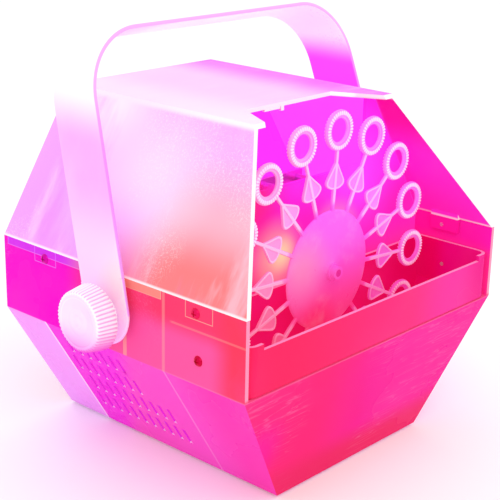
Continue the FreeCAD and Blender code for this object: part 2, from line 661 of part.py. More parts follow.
def drive():
    """The gear train from the motor up to the wheel, between two plates behind the partition."""
    module = size("gear_module")
    output, small, large = (round(size(name)) for name in ("output_teeth", "small_teeth", "large_teeth"))
    wheel_high = size("wheel_high")
    compound_high = wheel_high + module * (output + small) / 2
    motor_high = compound_high + module * (large + small) / 2
    front = -size("gearbox_front")
    front_inner = front + size("gearbox_plate")
    rear_inner = front_inner + size("gearbox_gap")
    rear = rear_inner + size("gearbox_plate")
    thick = size("gear_thick")
    play = size("bore_play")
    shaft = size("shaft_radius")
    upward = math.pi / 2
    output_rear = front_inner + 1.2 + thick
    node(solid_of("output_gear", gear(output, 0, (0, wheel_high), output_rear, thick, shaft)), "output_gear")

    small_first = meshing_tooth(upward, output, 0, small)
    pin = 1.5
    small_end = gear(small, small_first, (0, compound_high), output_rear + 1.4, thick + 1.8, pin + play)
    large_rear = output_rear + 1.4 + thick
    large_end = gear(large, 0, (0, compound_high), large_rear, thick, pin + play)
    node(solid_of("compound_gear", small_end.fuse(large_end).removeSplitter()), "compound_gear")

    pinion_first = meshing_tooth(upward, large, 0, small)
    motor_shaft = 1.2
    node(solid_of("motor_pinion", gear(small, pinion_first, (0, motor_high), large_rear + 0.8, thick + 1.6,
                                       motor_shaft)), "motor_pinion")
    node(rod("compound_gear_pin", "Y", (0, front, compound_high), pin, rear - front), "compound_gear_pin")

    low, high, half = 107, 196, 22
    for name, start in (("gearbox_front_plate", front), ("gearbox_rear_plate", rear_inner)):
        plate = box(name + "_blank", (-half, start, low), (half, f"{start} + gearbox_plate", high))
        is_front = start == front
        through = "gearbox_plate + 2"
        holes = [
            rod(name + "_bush_hole", "Y", (0, start - 1, "wheel_high"), 6, through),
            rod(name + "_pin_hole", "Y", (0, start - 1, compound_high), pin, through),
        ]
        if not is_front:
            holes.append(rod(name + "_motor_hole", "Y", (0, start - 1, motor_high), 5, through))
            for sign in (-1, 1):
                holes.append(rod(f"{name}_motor_screw_{sign + 1}", "Y", (8.5 * sign, start - 1, motor_high),
                                 1.4, through))
        for number, (across, up) in enumerate(GEARBOX_SCREWS):
            holes.append(rod(f"{name}_screw_{number}", "Y", (across, start - 1, up), 1.75, through))
        node(cut(name, plate, holes), name)

    pillars = []
    for number, (across, up) in enumerate(GEARBOX_SCREWS):
        post = rod(f"pillar_{number}", "Y", (across, front_inner, up), 3.2, "gearbox_gap")
        bore = rod(f"pillar_bore_{number}", "Y", (across, front_inner - 1, up), 1.75, "gearbox_gap + 2")
        pillars.append(cut(f"pillar_tube_{number}", post, [bore]))
    node(compound("gearbox_pillars", pillars), "gearbox_pillars")

    bushes = []
    for number, start in enumerate((front, rear_inner)):
        ring = rod(f"bush_{number}", "Y", (0, start, "wheel_high"), 6, "gearbox_plate")
        bore = rod(f"bush_bore_{number}", "Y", (0, start - 1, "wheel_high"), "shaft_radius + bore_play",
                   "gearbox_plate + 2")
        bushes.append(cut(f"bush_ring_{number}", ring, [bore]))
    node(compound("shaft_bushes", bushes), "shaft_bushes")

    shaft_front = -size("wheel_front") - 8.6
    node(rod("wheel_shaft", "Y", (0, shaft_front, "wheel_high"), "shaft_radius", rear + 1 - shaft_front),
         "wheel_shaft")
    cap_front = shaft_front - 1.6
    cap = fuse("cap_solid", [
        rod("cap_head", "Y", (0, cap_front, "wheel_high"), 4.6, 4.4),
        rod("cap_flange", "Y", (0, cap_front + 4.0, "wheel_high"), 5.8, 1.0),
    ])
    cap_bore = rod("cap_bore", "Y", (0, shaft_front, "wheel_high"), "shaft_radius", 8)
    node(cut("wheel_cap_nut", cap, [cap_bore]), "wheel_cap_nut")

    motor_rear = f"{rear} + motor_long"
    can = cut("motor_can", fuse("motor_can_solid", [
        rod("motor_can_tube", "Y", (0, rear, motor_high), "motor_radius", "motor_long"),
        rod("motor_can_nose", "Y", (0, rear - 2, motor_high), 4.8, 4),
    ]), [
        rod("motor_can_hollow", "Y", (0, rear + 1.6, motor_high), "motor_radius - 1.4", "motor_long"),
        rod("motor_can_bearing", "Y", (0, rear - 4, motor_high), motor_shaft + play, 8),
        rod("motor_can_thread_0", "Y", (-8.5, rear - 1, motor_high), 1.3, 4),
        rod("motor_can_thread_1", "Y", (8.5, rear - 1, motor_high), 1.3, 4),
    ])
    node(can, "motor_can")
    cap_start = f"{motor_rear} - 2.5"
    end_cap = cut("motor_end_cap", fuse("motor_end_cap_solid", [
        rod("motor_end_disc", "Y", (0, cap_start, motor_high), "motor_radius - 1.45", 2.5),
        rod("motor_end_boss", "Y", (0, cap_start, motor_high), 4, 4.5),
        box("motor_tag_left", (-9.4, cap_start, motor_high - 2), (-8.6, f"{cap_start} + 8", motor_high + 2)),
        box("motor_tag_right", (8.6, cap_start, motor_high - 2), (9.4, f"{cap_start} + 8", motor_high + 2)),
    ]), [rod("motor_end_bearing", "Y", (0, f"{cap_start} - 1", motor_high), motor_shaft + play, 4.5)])
    node(end_cap, "motor_end_cap")
    rotor = fuse("motor_rotor", [
        rod("rotor_shaft", "Y", (0, large_rear - thick - 0.8, motor_high), motor_shaft,
            f"({cap_start}) + 2.5 - {large_rear - thick - 0.8}"),
        rod("rotor_core", "Y", (0, rear + 6, motor_high), 10.5, 16),
        rod("rotor_commutator", "Y", (0, rear + 22.5, motor_high), 4, 4.5),
    ])
    node(rotor, "motor_rotor")
    return motor_high, rear


def blade_shapes():
    """Seven pitched fan blades round the impeller's hub."""
    blades = []
    for number in range(7):
        blade = Part.makeBox(21, 1.6, 30, Vector(-10.5, -0.8, size("fan_hub") - 2))
        blade.rotate(Vector(), Vector(0, 0, 1), 38)
        blade.rotate(Vector(), Vector(0, 1, 0), number * 360 / 7)
        blades.append(blade)
    sweep = Part.makeCylinder(size("fan_bore - 1.2"), 40, Vector(0, -20, 0), Vector(0, 1, 0))
    return [blade.common(sweep) for blade in blades]


def fan():
    """A square axial fan behind the bulkhead, its guard, and the screws and nuts that hold it."""
    front = "(bulkhead_front + plate + 0.05)"
    rear = f"({front} + fan_deep)"
    middle = "fan_high"
    spider = []
    for number, (across, up) in enumerate(((1, 1), (-1, 1), (1, -1), (-1, -1))):
        strut = Part.makeBox(34, 3.5, 4, Vector(14, size(rear) - 3.5, -2))
        strut.rotate(Vector(), Vector(0, 1, 0), math.degrees(math.atan2(up, across)))
        spider.append(solid_of(f"fan_strut_{number}", strut, Vector(0, 0, size(middle))))
    rim = cut("fan_rim", box("fan_block", ("-fan_half", front, f"{middle} - fan_half"),
                             ("fan_half", rear, f"{middle} + fan_half")), [
        rod("fan_airway", "Y", (0, f"{front} - 1", middle), "fan_bore", "fan_deep + 2")])
    seat = rod("fan_seat", "Y", (0, f"{rear} - 3.5", middle), "fan_hub", 3.5)
    post = rod("fan_post", "Y", (0, f"{rear} - 9", middle), 4, 6)
    solid = fuse("fan_frame_solid", [rim, seat, post] + spider)
    holes = [rod("fan_bearing", "Y", (0, f"{rear} - 10", middle), "1.5 + bore_play", 9)]
    for across in (-1, 1):
        for up in (-1, 1):
            holes.append(rod(f"fan_hole_{across + 1}_{up + 1}", "Y",
                             (f"{across} * fan_hole", f"{front} - 1", f"{middle} + {up} * fan_hole"),
                             2.15, "fan_deep + 2"))
    node(cut("fan_frame", solid, holes), "fan_frame")

    hub_front = f"{front} + 1.5"
    cup = cut("impeller_cup", rod("impeller_hub", "Y", (0, hub_front, middle), "fan_hub", "fan_deep - 6.5"), [
        rod("impeller_hollow", "Y", (0, f"{hub_front} + 6", middle), "fan_hub - 2", "fan_deep")])
    pin = rod("impeller_pin", "Y", (0, f"{hub_front} + 3", middle), 1.5, f"({rear} - 3) - ({hub_front} + 3)")
    blades = [solid_of(f"blade_{number}", shape, Vector(0, size(f"{front} + fan_deep / 2 - 1"), size(middle)))
              for number, shape in enumerate(blade_shapes())]
    node(fuse("fan_impeller", [cup, pin] + blades), "fan_impeller")

    wire = 0.9
    guard_plane = f"bulkhead_front - {wire} - 0.02"
    loops = []
    for radius in (9, 19, 29, 39):
        loop = doc.addObject("Part::Torus", f"guard_loop_{radius}")
        loop.Radius1, loop.Radius2 = radius, wire
        loops.append(place(loop, 0, guard_plane, middle, turn=AXIS_TURN["Y"]))
    screw_reach = size("fan_hole") * math.sqrt(2)
    arms = []
    for number in range(4):
        arm = Part.makeBox(screw_reach - 3, 1.2, 1.6, Vector(0, -0.6, -0.8))
        eyelet = Part.makeCylinder(4.4, 1.2, Vector(screw_reach, -0.6, 0), Vector(0, 1, 0))
        hole = Part.makeCylinder(2.3, 3, Vector(screw_reach, -1.5, 0), Vector(0, 1, 0))
        arm = arm.fuse(eyelet).cut(hole)
        arm.rotate(Vector(), Vector(0, 1, 0), 45 + 90 * number)
        arms.append(solid_of(f"guard_arm_{number}", arm, Vector(0, size(guard_plane), size(middle))))
    node(fuse("fan_guard", loops + arms), "fan_guard")


def screw(name, head_radius, head_high, shank_radius, shank_long):
    """A cross-slotted screw whose head rises from z = 0 and whose shank goes down."""
    ball_radius = (head_radius ** 2 + head_high ** 2) / (2 * head_high)
    ball = doc.addObject("Part::Sphere", name + "_ball")
    ball.Radius = ball_radius
    place(ball, 0, 0, head_high - ball_radius)
    head = common(name + "_head", [ball, rod(name + "_disc", "Z", (0, 0, 0), head_radius, head_high)])
    solid = fuse(name + "_solid", [head, rod(name + "_shank", "Z", (0, 0, -shank_long), shank_radius,
                                             shank_long)])
    slots = [box(f"{name}_slot_{number}", (-across, -along, head_high - 1.2), (across, along, head_high + 1))
             for number, (across, along) in enumerate(((0.4, head_radius * 0.55), (head_radius * 0.55, 0.4)))]
    return cut(name, solid, slots)


def hex_nut(name, across_flats, thick, bore):
    """A nut that stands on z = 0."""
    corners = []
    for number in range(6):
        angle = math.radians(60 * number + 30)
        reach = across_flats / 2 / math.cos(math.radians(30))
        corners.append((round(reach * math.cos(angle), 6), round(reach * math.sin(angle), 6)))
    blank = prism(name + "_blank", "XY", corners, 0, thick)
    return cut(name, blank, [rod(name + "_bore", "Z", (0, 0, -1), bore, thick + 2)])


def side_places(rows, distance):
    return [((sign * distance, size(along), size(up)), (sign, 0, 0)) for along, up in rows for sign in (-1, 1)]


def fasteners(motor_high, gearbox_rear):
    """Groups of like screws and nuts."""
    face = size("mid_half")
    cover_screw = screw("cover_screw", 3.6, 2.2, 1.45, 6.2)
    node(copies("cover_screws", cover_screw, side_places(SCREW_ROWS["cover"], face)), "cover_screws")
    node(copies("tank_screws", cover_screw, side_places(SCREW_ROWS["tank"], face)), "tank_screws")
    rear = size("deep_half - rear_sink")
    panel_screw = screw("panel_screw", 3.3, 2.0, 1.45, 11)
    places = [((sign * across, rear, up), (0, 1, 0)) for across, up in PANEL_SCREWS for sign in (-1, 1)]
    node(copies("rear_panel_screws", panel_screw, places), "rear_panel_screws")
    gearbox_screw = screw("gearbox_screw", 3.0, 1.9, 1.45, 25.4)
    node(copies("gearbox_screws", gearbox_screw, [((across, gearbox_rear, up), (0, 1, 0))
                                                  for across, up in GEARBOX_SCREWS]), "gearbox_screws")
    motor_screw = screw("motor_screw", 2.2, 1.4, 1.2, 4.4)
    motor_seat = gearbox_rear - size("gearbox_plate")
    node(copies("motor_screws", motor_screw, [((sign * 8.5, motor_seat, motor_high), (0, -1, 0))
                                              for sign in (-1, 1)]), "motor_screws")
    fan_screw = screw("fan_screw", 4.0, 2.2, 1.9, 34)
    holes = [(across * size("fan_hole"), size("fan_high") + up * size("fan_hole"))
             for across in (-1, 1) for up in (-1, 1)]
    guard_front = size("bulkhead_front") - 1.52
    node(copies("fan_screws", fan_screw, [((across, guard_front, up), (0, -1, 0)) for across, up in holes]),
         "fan_screws")
    fan_nut = hex_nut("fan_nut", 7, 3.2, 1.95)
    fan_rear = size("bulkhead_front + plate + 0.1 + fan_deep")
    node(copies("fan_nuts", fan_nut, [((across, fan_rear, up), (0, 1, 0)) for across, up in holes]), "fan_nuts")
    pivot_nut = hex_nut("pivot_nut", 13, 6.5, size("stud_radius + bore_play"))
    inner = size("mid_half - wall - 0.05")
    node(copies("pivot_nuts", pivot_nut, [((sign * inner, 0, size("pivot_high")), (-sign, 0, 0))
                                          for sign in (-1, 1)]), "pivot_nuts")


def lamps():
    """Lamp boards on the partition's pegs, each with six flat lamps that shine through the plate."""
    front = "(-partition_rear + lamp_gap)"
    boards = both_sides(side_box, "lamp_board", 23.5, 50, front, f"{front} + 1.6", 133, 159)
    node(compound("lamp_boards", boards), "lamp_boards")
    caps = [rod(f"lamp_{side}_{up}_{sign + 1}", "Y", (sign * side, f"{front} - 1.2", up), 2.5, 1.2)
            for side in (28, 36, 44) for up in (141, 151) for sign in (-1, 1)]
    node(compound("lamps", caps), "lamps")


def electronics():
    """The power board on the floor, with its parts, pillars and screws."""
    board_low, board_thick = 14.0, 1.6
    board_top = board_low + board_thick
    corners = [(sign * 45, along) for sign in (-1, 1) for along in (-25, 40)]
    board = box("board_blank", (-50, -30, board_low), (50, 45, board_top))
    holes = [rod(f"board_hole_{number}", "Z", (across, along, board_low - 1), 1.6, 4)
             for number, (across, along) in enumerate(corners)]
    node(cut("power_board", board, holes), "power_board")
    node(fuse("power_transformer", [
        box("transformer_core", (-34, -14, board_top), (-2, 12, board_top + 24)),
        box("transformer_coil", (-30, -19, board_top + 4), (-6, 17, board_top + 20)),
    ]), "power_transformer")
    cans = [rod(f"capacitor_{number}", "Z", (across, along, board_top), radius, tall)
            for number, (across, along, radius, tall) in enumerate(
                ((14, -8, 6.5, 18), (32, -8, 5, 13), (14, 12, 4, 11)))]
    node(compound("power_capacitors", cans), "power_capacitors")
    node(fuse("board_heat_sink", [
        box("sink_base", (26, 20, board_top), (44, 24, board_top + 20)),
        box("sink_fin_0", (26, 23, board_top), (27.5, 34, board_top + 20)),
        box("sink_fin_1", (34, 23, board_top), (35.5, 34, board_top + 20)),
        box("sink_fin_2", (42.5, 23, board_top), (44, 34, board_top + 20)),
    ]), "board_heat_sink")
    pillars = []
    for number, (across, along) in enumerate(corners):
        floor = "foot_rise + wall"
        post = rod(f"board_post_{number}", "Z", (across, along, floor), 3.2, f"{board_low} - ({floor})")
        pillars.append(cut(f"board_pillar_{number}", post, [
            rod(f"board_post_bore_{number}", "Z", (across, along, f"{floor} + 1"), 1.5, 12)]))
    node(compound("board_pillars", pillars), "board_pillars")
    board_screw = screw("board_screw", 2.8, 1.7, 1.4, 8)
    node(copies("board_screws", board_screw, [((across, along, board_top), (0, 0, 1))
                                              for across, along in corners]), "board_screws")


def mains_inlet():
    """The mains socket in the rear panel and its three pins."""
    rear = "(deep_half - rear_sink)"
    middle = "-inlet_side"
    high = "socket_high"
    solid = fuse("inlet_solid", [
        box("inlet_flange", (f"{middle} - 15.5", rear, f"{high} - 12"), (f"{middle} + 15.5", f"{rear} + 2",
                                                                       f"{high} + 12")),
        box("inlet_body", (f"{middle} - 13.5", f"{rear} - 20", f"{high} - 9.8"),
            (f"{middle} + 13.5", rear, f"{high} + 9.8")),
    ])
    deep = f"{rear} - 15"
    socket = prism("inlet_socket", "XZ", [
        (f"{middle} - 12", f"{high} - 8.2"), (f"{middle} + 12", f"{high} - 8.2"),
        (f"{middle} + 12", f"{high} + 3.6"), (f"{middle} + 7.4", f"{high} + 8.2"),
        (f"{middle} - 7.4", f"{high} + 8.2"), (f"{middle} - 12", f"{high} + 3.6")], deep, f"{rear} + 3")
    pins, slots = [], []
    for number, (across, up) in enumerate(((-7, -2), (7, -2), (0, 2))):
        for group, name, grow in ((pins, "pin", 0), (slots, "pin_slot", 0.02)):
            group.append(box(f"inlet_{name}_{number}",
                             (f"{middle} + {across - 1 - grow}", f"{rear} - 26", f"{high} + {up - 2 - grow}"),
                             (f"{middle} + {across + 1 + grow}", f"{rear} - 4.5", f"{high} + {up + 2 + grow}")))
    node(cut("mains_inlet", solid, [socket] + slots), "mains_inlet")
    node(compound("inlet_pins", pins), "inlet_pins")


def rocker_switch():
    """The power switch: a bezelled body, its terminals and a rocker on a pin."""
    rear = "(deep_half - rear_sink)"
    middle, high = "switch_side", "socket_high"
    solid = fuse("switch_solid", [
        box("switch_bezel", (f"{middle} - 7.5", rear, f"{high} - 10.5"), (f"{middle} + 7.5", f"{rear} + 1.6",
                                                                        f"{high} + 10.5")),
        box("switch_case", (f"{middle} - 6.4", f"{rear} - 13", f"{high} - 9.5"),
            (f"{middle} + 6.4", rear, f"{high} + 9.5")),
    ])
    well = box("switch_well", (f"{middle} - 5.1", f"{rear} - 7", f"{high} - 8.5"),
               (f"{middle} + 5.1", f"{rear} + 3", f"{high} + 8.5"))
    pivot = f"{rear} - 1.6"
    pin_bore = rod("switch_pin_bore", "X", (f"{middle} - 6.2", pivot, high), "1.2 + bore_play", 12.4)
    tag_places = (-6, 0, 6)
    slots = [box(f"switch_tag_slot_{up + 6}", (f"{middle} - 2.4", f"{rear} - 14", f"{high} + {up - 0.4}"),
                 (f"{middle} + 2.4", f"{rear} - 10.5", f"{high} + {up + 0.4}")) for up in tag_places]
    node(cut("switch_body", solid, [well, pin_bore] + slots), "switch_body")
    tags = [box(f"switch_tag_{up + 6}", (f"{middle} - 2.4", f"{rear} - 19", f"{high} + {up - 0.4}"),
                (f"{middle} + 2.4", f"{rear} - 10.5", f"{high} + {up + 0.4}")) for up in tag_places]
    node(compound("switch_tags", tags), "switch_tags")
    half = 4.7
    profile = [(1.2, -7.2), (3.6, -7.4), (2.5, 0), (3.6, 7.4), (1.2, 7.2), (-3.6, 2.4), (-3.6, -2.4)]
    blade = Part.Face(Part.makePolygon([Vector(-half, along, up) for along, up in profile + profile[:1]]))
    rocker = blade.extrude(Vector(2 * half, 0, 0))
    rocker = rocker.fuse(Part.makeCylinder(1.2, 11.8, Vector(-5.9, 0, 0), Vector(1, 0, 0)))
    position = Vector(size(middle), size(pivot), size(high))
    node(solid_of("switch_rocker", rocker, position, Rotation(Vector(1, 0, 0), 11)), "switch_rocker")


def edges_near(shape, test):
    return [f"Edge{number}" for number, edge in enumerate(shape.Edges, 1) if test(edge)]


def body_fillet(body, name, base, radius, test):
    doc.recompute()
    fillet = body.newObject("PartDesign::Fillet", name)
    fillet.Base = (base, edges_near(base.Shape, test))
    fillet.setExpression("Radius", full(radius))
    return fillet


def runs_along(edge, axis):
    """Whether an edge is straight and lies along an axis, near enough."""
    if len(edge.Vertexes) != 2:
        return False
    way = edge.Vertexes[1].Point - edge.Vertexes[0].Point
    return abs(way.normalize().dot(axis)) > 0.98


def carry_handle():
    """A wide strap bent into a U, with rounded corners and ends."""
    body = doc.addObject("PartDesign::Body", "carry_handle")
    outline = body_sketch(body, "handle_outline", "XZ_Plane")
    foot = "(-grip_wide / 2)"
    slant = "(grip_thick * sqrt(1 + grip_taper^2))"
    top = "(grip_high + grip_thick)"
    inner = [(f"grip_half - grip_taper * {foot}", foot), ("grip_half - grip_taper * grip_high", "grip_high")]
    outer = [(f"grip_half - grip_taper * {foot} + {slant}", foot),
             (f"grip_half - grip_taper * {top} + {slant}", top)]
    corners = outer + [(f"-({across})", up) for across, up in reversed(outer)]
    corners += [(f"-({across})", up) for across, up in inner] + list(reversed(inner))
    add_polygon(outline, corners)
    strap = pad_both_ways(body, outline, "strap", "grip_wide")
    middle_y = Vector(0, 1, 0)
    outer_bend = body_fillet(body, "outer_bend", strap, "grip_corner + grip_thick", lambda edge:
                             runs_along(edge, middle_y) and abs(edge.CenterOfMass.z - size(top)) < 0.1)
    inner_bend = body_fillet(body, "inner_bend", outer_bend, "grip_corner", lambda edge:
                             runs_along(edge, middle_y) and abs(edge.CenterOfMass.z - size("grip_high")) < 0.1)
    rounded = body_fillet(body, "rounded_ends", inner_bend, "grip_wide / 2 - 0.2", lambda edge:
                          runs_along(edge, Vector(1, 0, 0)) and abs(edge.CenterOfMass.z - size(foot)) < 0.1)
    body.Tip = rounded
    hole_sketch = body_sketch(body, "pivot_circle", "YZ_Plane")
    add_circle(hole_sketch, 0, 0, "stud_radius + 0.3")
    doc.recompute()
    hole = body.newObject("PartDesign::Pocket", "pivot_hole")
    hole.Profile = hole_sketch
    hole.Type = "ThroughAll"
    hole.SideType = "Symmetric"
    place(body, 0, 0, "pivot_high", turn=Rotation(Vector(1, 0, 0), -size("grip_lean")))
    return node(body, "carry_handle")


def knob(side, sign):
    """A ribbed hand knob on a neck, with a rimmed face and a blind bore for its stud."""
    body = doc.addObject("PartDesign::Body", side + "_knob")
    profile = body_sketch(body, side + "_knob_profile", "XY_Plane")
    along = [(0, "stud_radius"), (0, "knob_neck"), ("knob_skirt", "knob_neck"), ("knob_skirt", "knob_radius - 1"),
             ("knob_skirt + 0.8", "knob_radius"), ("knob_long - 1.8", "knob_face"),
             ("knob_long - 0.6", "knob_face - 0.6"), ("knob_long", "knob_face - 1.8"),
             ("knob_long", "knob_face - 3.4"), ("knob_long - 0.7", "knob_face - 4.6"), ("knob_long - 0.7", 0),
             (15, 0), (15, "stud_radius")]
    add_polygon(profile, [(f"{sign} * ({out})", radius) for out, radius in along])
    turned = body.newObject("PartDesign::Revolution", side + "_knob_turned")
    turned.Profile = profile
    turned.ReferenceAxis = (profile, ["H_Axis"])
    turned.Angle = 360
    rib_sketch = body_sketch(body, side + "_rib_outline", "XY_Plane")
    rib_profile = [("knob_skirt + 0.4", "knob_radius - 0.6"), ("knob_skirt + 0.8", "knob_radius + knob_rib"),
                   ("knob_long - 2", "knob_face + knob_rib"), ("knob_long - 1.4", "knob_face - 0.8")]
    add_polygon(rib_sketch, [(f"{sign} * ({out})", radius) for out, radius in rib_profile])
    rib = body.newObject("PartDesign::Revolution", side + "_rib")
    rib.Profile = rib_sketch
    rib.ReferenceAxis = (rib_sketch, ["H_Axis"])
    rib.Angle = 3.6
    polar(body, side + "_ribs", [rib], "X_Axis", "knob_ribs")
    place(body, f"{sign} * knob_seat", 0, "pivot_high")
    node(body, side + "_knob")
    reach = "knob_seat + 15 - (mid_half - wall - 8)"
    start = "mid_half - wall - 8" if sign > 0 else "-(knob_seat + 15)"
    node(rod(side + "_knob_stud", "X", (start, 0, "pivot_high"), "stud_radius", reach), side + "_knob_stud")


def handle_washers():
    """Friction washers between the case and the handle's legs."""
    rings = []
    for label, sign in (("left", -1), ("right", 1)):
        inner, outer = "mid_half + 0.1", "grip_half - 1.2"
        start = inner if sign > 0 else f"-({outer})"
        disc = rod(f"washer_{label}", "X", (start, 0, "pivot_high"), 12, f"({outer}) - ({inner})")
        rings.append(cut(f"washer_ring_{label}", disc, [
            rod(f"washer_hole_{label}", "X", (f"{start} - 1", 0, "pivot_high"), "stud_radius + 0.3", 12)]))
    return node(compound("handle_washers", rings), "handle_washers")


def rubber_feet():
    """Four feet stuck under the floor."""
    pads = [rod(f"foot_{number}", "Z", (across, along, 0), 8, "foot_rise")
            for number, (across, along) in enumerate(((-60, -78), (60, -78), (-60, 98), (60, 98)))]
    return node(compound("rubber_feet", pads), "rubber_feet")


base_housing()
top_cover()
rear_panel()
partition()
fan_bulkhead()
fluid_tank()
bubble_wheel()
motor_high, gearbox_rear = drive()
fan()
lamps()
electronics()
mains_inlet()
rocker_switch()
carry_handle()
knob("left", -1)
knob("right", 1)
handle_washers()
rubber_feet()
fasteners(motor_high, gearbox_rear)

doc.recompute()
for thing in doc.Objects:
    if "Invalid" in thing.State or "Error" in thing.State:
        raise RuntimeError(f"{thing.Label} failed: {thing.State}")
for piece in nodes:
    if piece.Shape.isNull() or not piece.Shape.isValid():
        raise RuntimeError(f"{piece.Label} has no valid shape")

os.makedirs("parts", exist_ok=True)
for piece in nodes:
    piece.Shape.exportStep(f"parts/{piece.Label}.step")
print(len(nodes), "pieces written")
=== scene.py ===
import json
import math
import bpy
from mathutils import Matrix, Vector


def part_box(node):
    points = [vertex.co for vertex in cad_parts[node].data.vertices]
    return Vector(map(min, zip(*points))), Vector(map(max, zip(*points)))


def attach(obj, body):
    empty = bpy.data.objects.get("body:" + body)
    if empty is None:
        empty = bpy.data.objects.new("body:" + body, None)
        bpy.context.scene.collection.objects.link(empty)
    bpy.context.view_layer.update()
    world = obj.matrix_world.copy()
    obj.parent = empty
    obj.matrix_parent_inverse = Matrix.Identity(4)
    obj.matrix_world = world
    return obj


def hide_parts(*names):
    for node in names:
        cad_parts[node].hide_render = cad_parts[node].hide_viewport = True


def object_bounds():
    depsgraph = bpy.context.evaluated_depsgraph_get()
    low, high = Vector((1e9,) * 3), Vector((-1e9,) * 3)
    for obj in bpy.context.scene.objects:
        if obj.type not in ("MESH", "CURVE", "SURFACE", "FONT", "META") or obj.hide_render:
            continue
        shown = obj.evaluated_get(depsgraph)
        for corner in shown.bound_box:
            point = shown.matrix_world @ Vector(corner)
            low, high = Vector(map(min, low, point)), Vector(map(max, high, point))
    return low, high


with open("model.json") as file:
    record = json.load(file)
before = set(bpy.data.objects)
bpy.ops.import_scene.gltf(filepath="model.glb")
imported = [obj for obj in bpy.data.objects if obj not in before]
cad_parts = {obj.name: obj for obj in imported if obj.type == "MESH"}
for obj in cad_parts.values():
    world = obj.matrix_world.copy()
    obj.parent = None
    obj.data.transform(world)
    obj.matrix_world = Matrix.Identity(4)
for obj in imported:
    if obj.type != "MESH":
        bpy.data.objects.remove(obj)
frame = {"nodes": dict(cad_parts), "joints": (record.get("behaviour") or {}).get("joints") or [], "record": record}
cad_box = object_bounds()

# Looks for the bubble machine: tinted see-through plastics lit from inside by the lamps, a moulded
# wand wheel, ribbed knobs and a strap handle. Much of the lamps' light, the highlights and the shade
# are painted into the finishes' colours and glow. x runs to the machine's right, y to its rear and z
# up. The frame is in metres; MM turns the millimetres used for sizes into them.

MM = 0.001
NODES = frame["nodes"]
JOINTS = {joint["name"]: joint for joint in frame["joints"]}
GROUND = cad_box[0][2]

# Levels of the case, in metres.
CASE_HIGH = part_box("top_cover")[1][2]
SEAM_HIGH = CASE_HIGH - 100 * MM
BAND_LOW = SEAM_HIGH - 54 * MM
CASE_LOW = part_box("base_housing")[0][2]

# Parts behind the tinted plastic whose shapes are painted on it where they would show through, in
# millimetres: where each starts and ends from front to rear or in height.
BAND_FACE = (133.6, 134.4)
COVER_LIP = (-43, 112)
LIP_LEVELS = (143.4, 152)
LIP_DROP = (5.6, 5.2)
COVER_TABS = ((-88.5, -65), (60, 82.5))
TAB_LEVELS = (138.2, 152)
PARTITION_EDGE = (-46.2, -44.6)
PARTITION_FOOT = (-46.0, -45.0)
PARTITION_FACE = -46
LAMPS_HIGH = 149
BULKHEAD_FOOT = (72.8, 74.2)
PIVOT_RIBS = (-9, 9)
RIB_HALF = 1.4
RIB_TOP = (114, 110)
TROUGH_RIM = (130.6, 131.6)
RIM_TOP = (125.0, 125.5)
TROUGH_REAR = (-50, -54)

# The wand wheel, the knobs and the handle's strap, in millimetres.
WANDS = 16
FIRST_WAND = math.radians(3.8)
RING_OUT = 97.9
RING_TEETH = 36
TOOTH_FOOT = 1.35
TOOTH_HIGH = 1.05
TOOTH_SHARPNESS = 0.8
HUB_RADIUS = 43
KNOB_RIBS = 48
KNOB_RIB = 0.78
RIB_SHARPNESS = 0.7
STEPS_PER_RIB = 6
STRAP_WIDE = 42
STRAP_THICK = 3
STRAP_EDGE = 0.9
GRIP_LEAN = math.radians(17.6)
GRIP_HALF = 140.1
GRIP_TAPER = 0.0858
GRIP_HIGH = 176.3
GRIP_CORNER = 45
PIVOT_HOLE = 4.3


# ---------------------------------------------------------------- materials

def colour(code):
    """A hex colour as linear red, green, blue and alpha."""
    linear = []
    for at in (0, 2, 4):
        part = int(code[at:at + 2], 16) / 255
        linear.append(part / 12.92 if part <= 0.04045 else ((part + 0.055) / 1.055) ** 2.4)
    return (*linear, 1.0)


def anchor_of(joint):
    """The point in the frame that a joint turns about."""
    return JOINTS[joint]["pos_m"]


